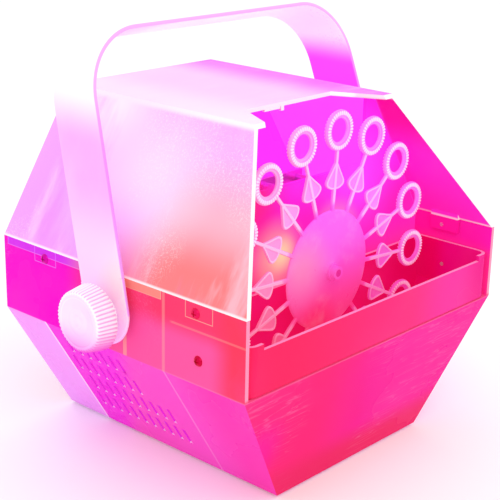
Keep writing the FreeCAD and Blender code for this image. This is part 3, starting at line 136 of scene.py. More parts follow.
class Finish:
    """One procedural material: a Principled shader and the nodes that drive it."""

    def __init__(self, name, **constants):
        self.material = bpy.data.materials.new(name)
        self.material.use_nodes = True
        self.tree = self.material.node_tree
        self.shader = next(node for node in self.tree.nodes if node.type == "BSDF_PRINCIPLED")
        for socket, value in constants.items():
            self.shader.inputs[socket.replace("_", " ")].default_value = value
        self.place = self.node("ShaderNodeTexCoord").outputs["Object"]
        split = self.node("ShaderNodeSeparateXYZ", Vector=self.place)
        self.x, self.y, self.z = split.outputs
        self.dim = 1.0

    def node(self, kind, settings=(), **sockets):
        """Adds a node, with its settings and what goes into its sockets."""
        made = self.tree.nodes.new(kind)
        for name, value in dict(settings).items():
            setattr(made, name, value)
        for name, value in sockets.items():
            self.feed(made.inputs[name.replace("_", " ")], value)
        return made

    def feed(self, socket, value):
        """Links another node's output, or sets a number, a vector or a hex colour."""
        if isinstance(value, bpy.types.NodeSocket):
            self.tree.links.new(value, socket)
        else:
            socket.default_value = colour(value) if isinstance(value, str) else value

    def maths(self, kind, first, second=0.0):
        made = self.node("ShaderNodeMath", {"operation": kind})
        self.feed(made.inputs[0], first)
        self.feed(made.inputs[1], second)
        return made.outputs[0]

    def plus(self, first, second):
        return self.maths("ADD", first, second)

    def minus(self, first, second):
        return self.maths("SUBTRACT", first, second)

    def times(self, first, second):
        return self.maths("MULTIPLY", first, second)

    def larger(self, first, second):
        return self.maths("MAXIMUM", first, second)

    def flip(self, share):
        return self.maths("SUBTRACT", 1.0, share)

    def size_of(self, value):
        return self.maths("ABSOLUTE", value)

    def fade(self, value, start, end):
        """0 before start, 1 after end, and smooth between them."""
        made = self.node("ShaderNodeMapRange", {"interpolation_type": "SMOOTHSTEP"}, Value=value,
                         From_Min=start, From_Max=end)
        return made.outputs[0]

    def zone(self, value, start, end):
        """As fade, between two distances in millimetres."""
        return self.fade(value, start * MM, end * MM)

    def mix(self, share, first, second):
        """The first colour where the share is 0, and the second where it is 1."""
        made = self.node("ShaderNodeMix", {"data_type": "RGBA"})
        self.feed(made.inputs["Factor"], share)
        self.feed(made.inputs[6], first)
        self.feed(made.inputs[7], second)
        return made.outputs[2]

    def patches(self, tone, pattern, levels, share, over):
        """Lays a colour over the tone in part, where a pattern is strong."""
        return self.mix(self.times(self.fade(pattern, *levels), share), tone, over)

    def noise(self, scale, detail=4.0, rough=0.55, stretch=(1, 1, 1), turn=(0, 0, 0)):
        """A cloudy pattern round 0.5, stretched and turned in the frame."""
        mapped = self.node("ShaderNodeMapping", Vector=self.place, Scale=stretch,
                           Rotation=turn).outputs[0]
        return self.node("ShaderNodeTexNoise", Vector=mapped, Scale=scale, Detail=detail,
                         Roughness=rough).outputs[0]

    def facing(self, axis):
        """How far the surface faces along an axis of the frame, from -1 to 1."""
        normal = self.node("ShaderNodeNewGeometry").outputs["Normal"]
        split = self.node("ShaderNodeSeparateXYZ", Vector=normal)
        return split.outputs["XYZ".index(axis)]

    def bump(self, height, distance, strength=1.0):
        """Raises and sinks the surface by a pattern."""
        made = self.node("ShaderNodeBump", Height=height, Distance=distance, Strength=strength)
        self.feed(self.shader.inputs["Normal"], made.outputs[0])

    def paint(self, tone, glow=0.0):
        """Sets the surface colour, and gives it a painted glow of the same colour, standing in for the lamps
        shining through the plastic.
        """
        base = self.mix(self.dim, (0.0, 0.0, 0.0, 1.0), tone) if self.dim < 1 else tone
        self.feed(self.shader.inputs["Base Color"], base)
        if glow:
            self.feed(self.shader.inputs["Emission Color"], tone)
            self.feed(self.shader.inputs["Emission Strength"], glow)

    def strip(self, value, low, high, soft):
        """1 between two distances in millimetres, fading out over a soft border."""
        return self.times(self.zone(value, low - soft, low), self.zone(value, high + soft, high))

    def spot(self, middle, radius):
        """1 at a point given in millimetres, fading to 0 at a radius."""
        away = self.node("ShaderNodeVectorMath", {"operation": "DISTANCE"})
        self.feed(away.inputs[0], self.place)
        self.feed(away.inputs[1], tuple(part * MM for part in middle))
        return self.fade(away.outputs["Value"], radius * MM, 0.0)

    def frame_line(self, across, up, sides, levels, wide):
        """A thin line round a rectangle, given in millimetres."""
        soft = 0.4
        outer = self.times(self.strip(across, *sides, soft), self.strip(up, *levels, soft))
        inner = self.times(self.strip(across, sides[0] + wide, sides[1] - wide, soft),
                           self.strip(up, levels[0] + wide, levels[1] - wide, soft))
        return self.minus(outer, inner)

    def roughen(self, low, high, pattern):
        """Lets a pattern move the roughness between two values."""
        made = self.node("ShaderNodeMapRange", Value=pattern, From_Min=0.3, From_Max=0.7,
                         To_Min=low, To_Max=high)
        self.feed(self.shader.inputs["Roughness"], made.outputs[0])


def scratches(finish, scale, turn, sharp=0.035):
    """Sparse fine lines, as a share from 0 to 1."""
    streak = finish.noise(scale, 2.0, 0.4, stretch=(1, 14, 14), turn=turn)
    line = finish.size_of(finish.minus(streak, 0.5))
    thin = finish.fade(line, sharp, 0.0)
    patch = finish.fade(finish.noise(9, 2.0), 0.5, 0.62)
    return finish.times(thin, patch)


def cover_finish():
    """Frosted clear plastic, lilac behind, with painted light: coral lamp glow low in front and near-white painted
    sheen at the top behind.
    """
    f = Finish("cover_plastic", Roughness=0.38, Alpha=0.95, IOR=1.46, Specular_IOR_Level=0.15)
    fore = f.zone(f.y, 40, -40)
    # Coral low in front: painted warm light of the lamps shining through.
    front = f.mix(f.zone(f.z, 162, 196), "f47c80", "fbb0c4")
    front = f.mix(f.zone(f.z, 192, 240), front, "f5abf0")
    rear = f.mix(f.zone(f.z, 170, 216), "ea9ef6", "eea4f8")
    tone = f.mix(fore, rear, front)
    # Painted sheen: two near-white spots on the upper rear.
    tone = f.mix(f.spot((-100, 16, 204), 84), tone, "fbe4f8")
    tone = f.mix(f.spot((-74, 62, 248), 58), tone, "fbf2fb")
    cloud = f.noise(15, 5.0, 0.65, stretch=(0.5, 2.2, 0.5), turn=(0.6, 0.3, 0.0))
    tone = f.patches(tone, cloud, (0.5, 0.72), 0.42, "fbe4f8")
    shade = f.noise(11, 4.0, 0.6, stretch=(0.6, 2.0, 0.6), turn=(0.9, 0.1, 0.2))
    tone = f.patches(tone, shade, (0.5, 0.7), 0.42, "e67fea")
    tone = f.mix(f.times(scratches(f, 34, (0.6, 0.2, 0.3)), 0.35), tone, "ffffff")

    # The flat top, with painted light pale at its left and a painted magenta cast at its right; the
    # right slope's inner side, painted hot magenta for the light inside the case; and the lips below
    # the seam, painted magenta as seen through the band.
    roof = f.fade(f.facing("Z"), 0.9, 0.99)
    roof_tone = f.mix(f.zone(f.x, -66, -10), "f8e0fa", "f4c8fa")
    roof_tone = f.mix(f.zone(f.x, 14, 68), roof_tone, "e866ec")
    roof_tone = f.patches(roof_tone, cloud, (0.5, 0.72), 0.35, "f6dcf8")
    tone = f.mix(roof, tone, roof_tone)
    right_inner = f.times(f.zone(f.x, 20, 40), f.fade(f.facing("X"), -0.2, -0.5))
    inner_tone = f.mix(f.zone(f.z, 232, 200), "f010a4", "fa2edc")
    inner_tone = f.mix(f.zone(f.y, PARTITION_FACE - 4, PARTITION_FACE), inner_tone, "f65cff")
    tone = f.mix(right_inner, tone, inner_tone)
    below = f.fade(f.z, SEAM_HIGH - 0.1 * MM, SEAM_HIGH - 0.3 * MM)
    tone = f.mix(below, tone, "fa1aac")

    # Painted highlights on the edges that catch the light: the front edges, the top's rim and the seam.
    front_edge = f.fade(f.facing("Y"), -0.55, -0.8)
    top_edge = f.times(f.fade(f.z, CASE_HIGH - 5 * MM, CASE_HIGH - 1.5 * MM),
                       f.fade(f.facing("Z"), 0.97, 0.85))
    seam = f.fade(f.z, SEAM_HIGH + 2.0 * MM, SEAM_HIGH + 0.6 * MM)
    edges = f.larger(front_edge, f.larger(top_edge, f.times(seam, 0.9)))
    edges = f.times(edges, f.flip(below))
    tone = f.mix(edges, tone, "ffeef2")
    # Painted glow: faint all over, stronger on the right slope's inner side next to the partition.
    lit = f.times(right_inner, f.zone(f.y, PARTITION_FACE, PARTITION_FACE + 4))
    f.paint(tone, f.plus(0.10, f.times(lit, 0.4)))
    f.roughen(0.28, 0.5, cloud)
    f.bump(shade, 0.12 * MM, 0.35)
    return f.material


def case_finish():
    """Tinted clear plastic: hot magenta behind, violet on the slopes, and coral in front where the lamps'
    light is painted in, with painted highlights and a faint painted glow.

    The cover's lip and tabs, the partition's edge, the ribs and the trough's rim are painted on it as
    paler shapes where they would show through it.
    """
    f = Finish("case_plastic", Roughness=0.24, Alpha=0.97, IOR=1.46, Specular_IOR_Level=0.05)

    # The upright band, the lower slopes and the leaning front.
    fore = f.zone(f.y, 56, 14)
    # Coral in front: painted warm light of the lamps shining through the band.
    coral = f.mix(f.zone(f.z, 136, 120), "f63c6c", "f9569e")
    coral = f.mix(f.zone(f.y, -84, -108), coral, "f43a5c")
    band = f.mix(fore, "f200c8", coral)
    slope = f.mix(f.strip(f.y, -30, 74, 1.5), "f03eb8", "f204dc")
    slope = f.mix(f.zone(f.y, 73.5, 74.5), slope, "f09cf6")
    slope = f.mix(f.zone(f.plus(f.y, f.times(f.z, 0.55)), 62, 34), slope, "f446c6")
    slope = f.mix(f.zone(f.y, -40, -90), slope, "f42cb0")
    below = f.fade(f.z, BAND_LOW + 0.5 * MM, BAND_LOW - 0.5 * MM)
    tone = f.mix(below, band, slope)
    front = f.times(f.fade(f.facing("Y"), -0.6, -0.8), below)
    sheet = f.mix(f.zone(f.x, -60, 10), "f01a74", "ee1092")
    sheet = f.mix(f.zone(f.z, 34, 12), sheet, "e61e64")
    sheet = f.mix(f.spot((-110, -98, 50), 34), sheet, "f00c96")
    tone = f.mix(front, tone, sheet)
    cloud = f.noise(11, 4.0, 0.5, stretch=(0.7, 1.2, 1.0))
    tone = f.patches(tone, cloud, (0.46, 0.75), 0.16, "fb5cc0")
    dark = f.noise(8, 3.0, 0.5, turn=(0.3, 0.8, 0.1))
    tone = f.patches(tone, dark, (0.52, 0.75), 0.3, "ea0e62")
    tone = f.mix(f.times(scratches(f, 24, (0.2, 0.5, 0.9)), 0.12), tone, "ffb8e6")

    # The lip, tabs, partition, ribs and rim, painted on the upright band where they would show through
    # it, coral in front where the lamps' light is painted in.
    outside = f.times(f.zone(f.size_of(f.x), *BAND_FACE), f.flip(below))
    lip = f.strip(f.y, *COVER_LIP, 0.6)
    lip = f.times(lip, f.fade(f.z, SEAM_HIGH - LIP_DROP[0] * MM, SEAM_HIGH - LIP_DROP[1] * MM))
    lip_tone = f.mix(fore, "c93af0", "f79a86")
    tone = f.mix(f.times(f.times(lip, outside), 0.75), tone, lip_tone)
    lines = [f.frame_line(f.y, f.z, COVER_LIP, LIP_LEVELS, 0.5)]
    lines += [f.frame_line(f.y, f.z, tab, TAB_LEVELS, 0.5) for tab in COVER_TABS]
    lines.append(f.times(f.strip(f.y, *PARTITION_EDGE, 0.9), 0.42))
    for middle in PIVOT_RIBS:
        rib = f.times(f.strip(f.y, middle - RIB_HALF, middle + RIB_HALF, 0.6),
                      f.zone(f.z, *RIB_TOP))
        lines.append(f.times(rib, 0.8))
    rim = f.times(f.strip(f.z, *TROUGH_RIM, 0.5), f.zone(f.y, *TROUGH_REAR))
    lines.append(f.times(rim, 0.3))
    line = lines[0]
    for other in lines[1:]:
        line = f.larger(line, other)
    line_tone = f.mix(fore, "e27cf8", "fdb0a0")
    tone = f.mix(f.times(f.times(line, outside), 0.75), tone, line_tone)

    # The plates' feet on the lower slopes, painted as near-white lines where they show through.
    slope_line = f.larger(f.strip(f.y, *BULKHEAD_FOOT, 0.5),
                          f.times(f.strip(f.y, *PARTITION_FOOT, 0.7), 0.2))
    slope_line = f.times(slope_line, below)
    tone = f.mix(f.times(slope_line, 0.75), tone, "feeefd")

    # The inner right side, painted highlights on the light edges, the vents' sides painted violet by the
    # way they face, and painted highlights on the vents' lit ends.
    inner = f.times(f.zone(f.x, 60, 70), f.fade(f.facing("X"), -0.4, -0.7))
    inner_tone = f.mix(f.zone(f.z, 124, 138), "fe30a0", "fa1eb8")
    tone = f.mix(inner, tone, inner_tone)
    band_edge = f.times(f.fade(f.facing("Y"), -0.6, -0.8),
                        f.fade(f.z, BAND_LOW, BAND_LOW + 3 * MM))
    corner = f.zone(f.size_of(f.minus(f.z, BAND_LOW)), 0.9, 0.2)
    corner = f.times(corner, f.zone(f.y, -20, -70))
    edges = f.larger(f.times(band_edge, 0.8), f.times(corner, 0.25))
    tone = f.mix(edges, tone, "fb9fc2")
    sunk = f.times(below, f.fade(f.size_of(f.facing("Y")), 0.8, 0.95))
    sunk = f.times(sunk, f.zone(f.y, -40, -36))
    tone = f.mix(sunk, tone, "f048f4")
    lit_end = f.times(f.fade(f.facing("Z"), 0.72, 0.8), f.strip(f.z, 12, 92, 2))
    tone = f.mix(lit_end, tone, "fce0fc")
    # A faint painted glow.
    f.paint(tone, 0.06)
    f.roughen(0.16, 0.34, cloud)
    f.bump(f.noise(180, 2.0), 0.04 * MM, 0.3)
    return f.material


def inside_finish(name, glow, painted_lamp_light):
    """Tinted plates inside the case: violet above, red-pink below, with a painted glow and, when
    asked, painted pools of warm lamp light round the lamps.
    """
    f = Finish(name, Roughness=0.34, IOR=1.46, Specular_IOR_Level=0.08)
    f.dim = 0.55    # the glow adds to the colour, so the colour itself is held down
    low = f.mix(f.zone(f.x, 20, 90), "f9285e", "fc3490")
    tone = f.mix(f.zone(f.z, 108, 150), low, "f824b4")
    tone = f.mix(f.zone(f.z, 160, 205), tone, "f922dc")
    tone = f.mix(f.zone(f.x, -10, -56), tone, "fb1c7c")
    behind = f.zone(f.y, 0, 40)
    tone = f.mix(behind, tone, f.mix(f.zone(f.x, -76, -40), "f80a90", "f63cf4"))
    tone = f.mix(f.spot((58, PARTITION_FACE, 192), 60), tone, "f544f2")
    cloud = f.noise(12, 3.0, 0.5)
    tone = f.patches(tone, cloud, (0.45, 0.72), 0.3, "f92cc8")
    # A magenta patch up at the left, and painted pools of lamp light: a warm halo and a brighter core round each
    # lamp.
    if painted_lamp_light:
        tone = f.mix(f.spot((-72, PARTITION_FACE, 240), 44), tone, "f90a90")
        for side in (-1, 1):
            halo = f.spot((side * 31, PARTITION_FACE, LAMPS_HIGH - 1), 34)
            tone = f.mix(f.times(halo, 0.9), tone, "feaaa0")
            core = f.spot((side * 25, PARTITION_FACE, LAMPS_HIGH), 17)
            tone = f.mix(core, tone, "ffd9a8")
    f.paint(tone, glow)
    f.roughen(0.24, 0.42, cloud)
    f.bump(f.noise(120, 2.0), 0.06 * MM, 0.35)
    return f.material


def tank_finish():
    """The trough: tinted clear plastic, coral at the left and magenta at the right, with a painted
    highlight on the rim and a painted glow.
    """
    f = Finish("tank_plastic", Roughness=0.22, Alpha=0.96, IOR=1.46, Specular_IOR_Level=0.06)
    f.dim = 0.8
    tone = f.mix(f.zone(f.x, -100, 30), "f42460", "f4287a")
    tone = f.mix(f.zone(f.x, 30, 84), tone, "f42c9e")
    tone = f.mix(f.zone(f.x, 92, 124), tone, "ea0088")
    rear = f.zone(f.y, -84, -66)
    tone = f.mix(rear, tone, f.mix(f.zone(f.x, 40, 120), "f41c80", "ea006c"))
    cloud = f.noise(9, 3.0, 0.5, stretch=(0.6, 1, 1))
    tone = f.patches(tone, cloud, (0.45, 0.72), 0.3, "f94a94")
    # Painted highlight: paler on the rim's top, and faintly on faces looking down.
    rim = f.times(f.zone(f.z, *RIM_TOP), f.fade(f.facing("Z"), 0.6, 0.9))
    ledge = f.times(f.fade(f.facing("Z"), -0.6, -0.9), 0.3)
    tone = f.mix(f.larger(rim, ledge), tone, "fb94c8")
    f.paint(tone, 0.24)
    f.roughen(0.16, 0.3, cloud)
    f.bump(f.noise(150, 2.0), 0.04 * MM, 0.3)
    return f.material


def wheel_finish():
    """Moulded pink plastic with painted light and shade: pale at the rings, pink over the disc, paler
    up at the left, redder low down, with painted highlights on the teeth and rims and a painted glow.
    """
    f = Finish("wheel_plastic", Roughness=0.32, IOR=1.48, Specular_IOR_Level=0.35)
    f.dim = 0.7
    anchor = anchor_of("wheel_spin")
    across = f.minus(f.x, anchor[0])
    rise = f.minus(f.z, anchor[2])
    reach = f.maths("SQRT", f.plus(f.times(across, across), f.times(rise, rise)))
    # Painted light and shade: redder low down, a red patch low on the disc, a paler one up at the left.
    tone = f.mix(f.zone(rise, -36, 30), "fb4a9e", "f858ec")
    tone = f.mix(f.spot((-12, -70, 96), 30), tone, "fa2c78")
    tone = f.mix(f.spot((-30, -68, 142), 38), tone, "fa86c8")

    # The wands: rings painted paler at the left and at the top, and painted highlights on the crowns of
    # teeth and the paddles' rims.
    left = f.zone(f.x, 20, -70)
    ring_high = f.mix(left, "f47cf8", "f79ae0")
    ring_low = f.mix(left, "f540b4", "f8709c")
    ring = f.mix(f.zone(rise, -60, 50), ring_low, ring_high)
    tone = f.mix(f.zone(reach, HUB_RADIUS, HUB_RADIUS + 7), tone, ring)
    deep = f.size_of(f.minus(f.y, anchor[1]))
    crest = f.times(f.zone(deep, 1.2, 2.0), f.zone(reach, 80, 84))
    rim = f.times(f.zone(deep, 0.6, 1.0), f.strip(reach, 50, 82, 4))
    pale = f.mix(f.zone(rise, -70, 20), "fb9cc8", "fcdcfa")
    tone = f.mix(f.larger(crest, f.times(rim, 0.45)), tone, pale)
    dot = f.zone(reach, 2.9, 2.4)
    tone = f.mix(dot, tone, "e22c9c")
    grain = f.noise(40, 4.0, 0.6)
    tone = f.patches(tone, grain, (0.5, 0.8), 0.18, "ffd0f2")
    f.paint(tone, 0.36)
    f.roughen(0.24, 0.42, grain)
    f.bump(f.noise(260, 2.0), 0.03 * MM, 0.4)
    return f.material


def handle_finish():
    """Milky strap, white over the bend and lilac down the legs, with painted light: warm light by the
    left foot, a magenta cast on the right leg, shade underneath at the left, and a glow.
    """
    f = Finish("handle_plastic", Roughness=0.36, IOR=1.47, Specular_IOR_Level=0.35)
    tone = f.mix(f.zone(f.z, 230, 272), "eca2f6", "fcf4fc")
    tone = f.mix(f.zone(f.z, 212, 160), tone, "f2c4f4")
    # Painted warm light near the left foot.
    painted_warm_light = f.times(f.spot((-141, -14, 146), 42), 0.75)
    tone = f.mix(painted_warm_light, tone, "f6d2cc")
    # Painted magenta cast high on the right leg.
    right = f.times(f.zone(f.x, 105, 126), f.zone(f.z, 276, 250))
    tone = f.mix(right, tone, "f44cf4")
    # Painted shade on the faces looking down at the left.
    inside = f.times(f.fade(f.facing("Z"), -0.2, -0.7), f.zone(f.x, -30, -90))
    inside = f.times(inside, 0.6)
    tone = f.mix(inside, tone, "e9a6f4")
    cloud = f.noise(13, 4.0, 0.55, stretch=(1, 1, 0.5))
    tone = f.patches(tone, cloud, (0.5, 0.75), 0.3, "fbf0fb")
    anchor = anchor_of("handle_swing")
    lean = f.minus(f.times(f.y, math.cos(GRIP_LEAN)),
                   f.times(f.minus(f.z, anchor[2]), math.sin(GRIP_LEAN)))
    rim = f.zone(f.size_of(lean), STRAP_WIDE / 2 - 0.5, STRAP_WIDE / 2 - 0.1)
    tone = f.mix(f.times(rim, 0.8), tone, "dc84ee")
    tone = f.mix(f.times(scratches(f, 26, (0.1, 1.2, 0.2)), 0.25), tone, "de8cea")
    f.paint(tone, 0.16)
    f.roughen(0.28, 0.45, cloud)
    f.bump(f.noise(170, 2.0), 0.03 * MM, 0.4)
    return f.material


def knob_finish():
    """White plastic with painted light: a magenta cast towards its lower side, shade in the valleys
    between the ribs, lilac shade on the flat faces, and a faint painted glow.
    """
    f = Finish("knob_plastic", Roughness=0.32, IOR=1.47, Specular_IOR_Level=0.35)
    anchor = anchor_of("left_knob_turn")
    rise = f.minus(f.z, anchor[2])
    # Painted magenta cast, pinker towards the lower side.
    tone = f.mix(f.zone(rise, -24, 2), "f018d4", "fcf0fc")
    # Painted shade in the valleys between the ribs, on the skirt.
    around = f.maths("ARCTAN2", f.y, rise)
    valley = f.fade(f.maths("COSINE", f.times(around, float(KNOB_RIBS))), 0.1, -0.8)
    skirt = f.fade(f.size_of(f.facing("X")), 0.6, 0.4)
    tone = f.mix(f.times(f.times(valley, skirt), 0.5), tone, "ee70d8")
    # Painted lilac shade on the flat faces.
    face = f.fade(f.size_of(f.facing("X")), 0.85, 0.97)
    tone = f.mix(f.times(face, 0.5), tone, "f3c4f8")
    grain = f.noise(60, 3.0)
    tone = f.patches(tone, grain, (0.5, 0.8), 0.2, "fbeefb")
    f.paint(tone, 0.05)
    f.roughen(0.26, 0.4, grain)
    f.bump(f.noise(300, 2.0), 0.02 * MM, 0.4)
    return f.material


def plain_plastic(name, base, worn, rough=0.45, glow=0.0, behind_plate=False):
    """Moulded plastic with a fine grain and a painted glow when given one, painted magenta behind the
    plate for the light that comes through it.
    """
    f = Finish(name, Roughness=rough, IOR=1.5)
    cloud = f.noise(30, 4.0)
    tone = f.mix(f.fade(cloud, 0.35, 0.7), base, worn)
    if behind_plate:
        # Painted magenta light where the part sits behind the plate.
        plate_light = f.times(f.strip(f.y, 66, 104, 1), f.zone(f.z, 98, 104))
        tone = f.mix(f.times(plate_light, 0.92), tone, "f02ce0")
    f.paint(tone, glow)
    f.roughen(rough - 0.08, rough + 0.1, cloud)
    f.bump(f.noise(900, 2.0), 0.02 * MM, 0.5)
    return f.material


def metal(name, base, dull, rough=0.3, streak=(1, 1, 1)):
    """Plain metal with faint streaks and dull patches, with painted reflections of the tinted case round
    it and a faint painted glow.
    """
    f = Finish(name, Roughness=rough, Metallic=1.0)
    cloud = f.noise(45, 5.0, 0.6, stretch=streak)
    tone = f.mix(f.fade(cloud, 0.35, 0.7), base, dull)
    # Painted red reflections on the screws in the band: darker low down, purpler towards the rear.
    side = f.zone(f.size_of(f.x), BAND_FACE[0] + 0.4, BAND_FACE[1] + 0.4)
    knob_high = anchor_of("left_knob_turn")[2]
    low = f.fade(f.z, knob_high + 22 * MM, knob_high - 20 * MM)
    red = f.mix(low, "e01a58", "c80c3c")
    red = f.mix(f.zone(f.y, 40, 60), red, "d010a0")
    tone = f.mix(side, tone, red)
    # Painted magenta reflections on the metal inside the case.
    behind = f.times(f.strip(f.y, -36, 108, 2), f.flip(side))
    tone = f.mix(f.times(behind, 0.9), tone, "f23ce8")
    f.paint(tone, 0.10)
    f.roughen(rough - 0.08, rough + 0.14, cloud)
    f.bump(f.noise(700, 2.0, stretch=streak), 0.01 * MM, 0.4)
    return f.material


def board_finish():
    """Green circuit board with copper runs showing under the varnish."""
    f = Finish("board_green", Roughness=0.35, IOR=1.5)
    brick = f.node("ShaderNodeTexBrick", Vector=f.place, Color1="1d6b3a", Color2="175c32",
                   Mortar="2f8a4c", Scale=90.0, Mortar_Size=0.04)
    f.paint(brick.outputs[0])
    f.bump(brick.outputs[1], 0.03 * MM, 0.4)
    return f.material


def lamp_finish():
    """Lit lamp: a warm clear lens."""
    f = Finish("lamp_lens", Roughness=0.12, IOR=1.5)
    f.paint(f.mix(f.fade(f.noise(400, 2.0), 0.3, 0.7), "fff0c8", "ffe0a0"), 2.2)
    return f.material


def rubber_finish():
    """Dark grained rubber."""
    f = Finish("foot_rubber", Roughness=0.8, IOR=1.5)
    grain = f.noise(500, 4.0)
    f.paint(f.mix(grain, "2a2a2c", "48484c"))
    f.bump(grain, 0.05 * MM, 0.6)
    return f.material


def make_finishes():
    """One finish for each material slot."""
    return {
        "case_plastic": case_finish(),
        "cover_plastic": cover_finish(),
        "panel_plastic": inside_finish("panel_plastic", 0.3, False),
        "plate_plastic": inside_finish("plate_plastic", 0.74, True),
        "tank_plastic": tank_finish(),
        "wheel_plastic": wheel_finish(),
        "handle_plastic": handle_finish(),
        "knob_plastic": knob_finish(),
        "gear_plastic": plain_plastic("gear_plastic", "f1e9dc", "e3d9c6"),
        "zinc_steel": metal("zinc_steel", "d9dade", "b9bcc2", 0.28),
        "bronze": metal("bronze", "d8b26a", "b98f4c", 0.32),
        "black_plastic": plain_plastic("black_plastic", "1b1b1e", "29292d", glow=0.25,
                                       behind_plate=True),
        "switch_red": plain_plastic("switch_red", "c01220", "a80e1a", 0.3),
        "guard_wire": metal("guard_wire", "e6e6ea", "c4c6cc", 0.16),
        "board_green": board_finish(),
        "lamp_lens": lamp_finish(),
        "coil_tape": plain_plastic("coil_tape", "e2bd38", "cfa62c", 0.4),
        "capacitor_sleeve": plain_plastic("capacitor_sleeve", "20263f", "161b30", 0.3),
        "sink_metal": metal("sink_metal", "cfd1d4", "b5b8bd", 0.4),
        "foot_rubber": rubber_finish(),
    }


FINISHES = make_finishes()
SLOTS = {part["node"]: part["material_slot"] for part in frame["record"]["subparts"]}


def dress_node(name, bevel):
    """Gives a CAD node its finish, welded normals and slightly broken edges."""
    piece = NODES[name]
    piece.data.materials.clear()
    piece.data.materials.append(FINISHES[SLOTS[name]])
    weld = piece.modifiers.new("weld", "WELD")
    weld.merge_threshold = 0.002 * MM
    if bevel:
        rounding = piece.modifiers.new("rounding", "BEVEL")
        rounding.width = bevel
        rounding.segments = 2
        rounding.limit_method = "ANGLE"
        rounding.angle_limit = math.radians(40)
        rounding.harden_normals = True
    return piece


# ---------------------------------------------------------------- mesh pieces

def piece_of(name, points, faces, material_slot, body, *nodes):
    """A mesh piece in the frame that rides on a body and stands for CAD nodes."""
    mesh = bpy.data.meshes.new(name)
    mesh.from_pydata([tuple(point) for point in points], [], faces)
    mesh.update()
    piece = bpy.data.objects.new(name, mesh)
    bpy.context.scene.collection.objects.link(piece)
    mesh.materials.append(FINISHES[material_slot])
    mesh.shade_smooth()
    mesh.set_sharp_from_angle(angle=math.radians(48))
    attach(piece, body)
    if nodes:
        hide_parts(*nodes)
    return piece


class Shape:
    """Points and faces gathered before they become one mesh."""

    def __init__(self):
        self.points = []
        self.faces = []

    def add(self, points, faces):
        first = len(self.points)
        self.points += points
        self.faces += [tuple(first + index for index in face) for face in faces]

    def loft(self, loops, closed=True):
        """Joins equal closed loops into a skin.

        A closed skin joins its last loop to its first, and an open one is capped at both ends.
        """
        count, around = len(loops), len(loops[0])
        points = [point for loop in loops for point in loop]
        faces = []
        for row in range(count if closed else count - 1):
            for at in range(around):
                here, there = row * around, (row + 1) % count * around
                following = (at + 1) % around
                faces.append((here + at, here + following, there + following, there + at))
        if not closed:
            faces.append(tuple(reversed(range(around))))
            faces.append(tuple((count - 1) * around + at for at in range(around)))
        self.add(points, faces)


def turn_of(count):
    """Equal steps round a full turn, in radians."""
    return [2 * math.pi * step / count for step in range(count)]


def wheel_point(out, along, deep, angle):
    """A point of the wheel: out from its axis, along the tangent, deep behind its middle plane."""
    anchor = anchor_of("wheel_spin")
    return Vector((
        anchor[0] + (out * math.sin(angle) + along * math.cos(angle)) * MM,
        anchor[1] + deep * MM,
        anchor[2] + (out * math.cos(angle) - along * math.sin(angle)) * MM,
    ))


def add_hub(shape):
    """The dished disc with its boss."""
    profile = [(3.05, -5.1), (5.0, -5.1), (5.6, -4.8), (6.0, -4.0), (7.4, -3.4), (18, -2.7),
               (32, -1.95), (41.2, -1.2), (42.2, -0.85), (42.8, -0.2), (42.7, 0.6), (41.8, 1.15),
               (30, 0.9), (10.5, 0.3), (9.3, 0.8), (8.9, 3.0), (8.4, 3.35), (3.05, 3.35)]
    loops = [[wheel_point(out, 0, deep, angle) for out, deep in profile] for angle in turn_of(128)]
    shape.loft(loops)


def add_ring(shape, wand):
    """A wand's ring: a thin flange under a crown of teeth on both faces, which hold the fluid."""
    loops = []
    for around in turn_of(RING_TEETH * STEPS_PER_RIB):
        tooth = max(0.0, 0.5 + 0.5 * math.cos(RING_TEETH * around)) ** TOOTH_SHARPNESS
        crest = TOOTH_FOOT + TOOTH_HIGH * tooth
        section = [(8.3, 0.45), (8.6, 0.85), (10.3, 0.9), (10.55, 0.6 + 0.6 * crest),
                   (11.1, crest), (12.6, crest), (13.3, 0.4 + 0.6 * crest), (13.5, 0.9),
                   (13.85, 0.7), (14.0, 0.35)]
        closed = section + [(out, -deep) for out, deep in reversed(section)]
        loop = [wheel_point(RING_OUT + out * math.cos(around), out * math.sin(around), deep, wand)
                for out, deep in closed]
        loops.append(loop)
    shape.loft(loops)


def add_stem(shape, wand):
    """The bar from the disc to the ring, rounded along its edges."""
    loops = []
    for out, half in ((41.4, 1.6), (44, 1.45), (58, 1.4), (76, 1.25), (84.6, 1.25), (87.2, 1.7)):
        right = [(half, -0.6), (half, 0.6), (half - 0.45, 1.1)]
        section = [(-half, -0.6), (-half + 0.45, -1.1), (half - 0.45, -1.1), *right,
                   (-half + 0.45, 1.1), (-half, 0.6)]
        loops.append([wheel_point(out, along, deep, wand) for along, deep in section])
    shape.loft(loops, closed=False)


# Half of a spade's outline as (out, along) pairs, and the middle that it shrinks towards.
SPADE = [(57.1, 1.5), (57.3, 3.6), (58.0, 6.0), (59.2, 8.2), (60.4, 9.3), (61.6, 9.6), (62.9, 9.4),
         (64.4, 8.6), (68, 6.2), (71.5, 3.8), (74.2, 2.1), (75.4, 1.3), (75.9, 0.5)]
SPADE_MIDDLE = 64.5
SPADE_HALF = 8.5


def spade_outline(inset):
    """A spade with its point outwards, drawn in towards its middle, as (out, along) pairs."""
    shrink = 1 - inset / SPADE_HALF
    side = [(SPADE_MIDDLE + (out - SPADE_MIDDLE) * shrink, along * shrink) for out, along in SPADE]
    return side + [(out, -along) for out, along in reversed(side)]


def add_paddle(shape, wand):
    """A flat spade with a raised rim on both faces."""
    rows = [(2.0, 0.5), (1.7, 0.6), (1.35, 1.1), (0.5, 1.18), (0.08, 0.75)]
    rows += [(inset, -deep) for inset, deep in reversed(rows)]
    loops = [[wheel_point(out, along, -deep, wand) for out, along in spade_outline(inset)]
             for inset, deep in rows]
    shape.loft(loops, closed=False)


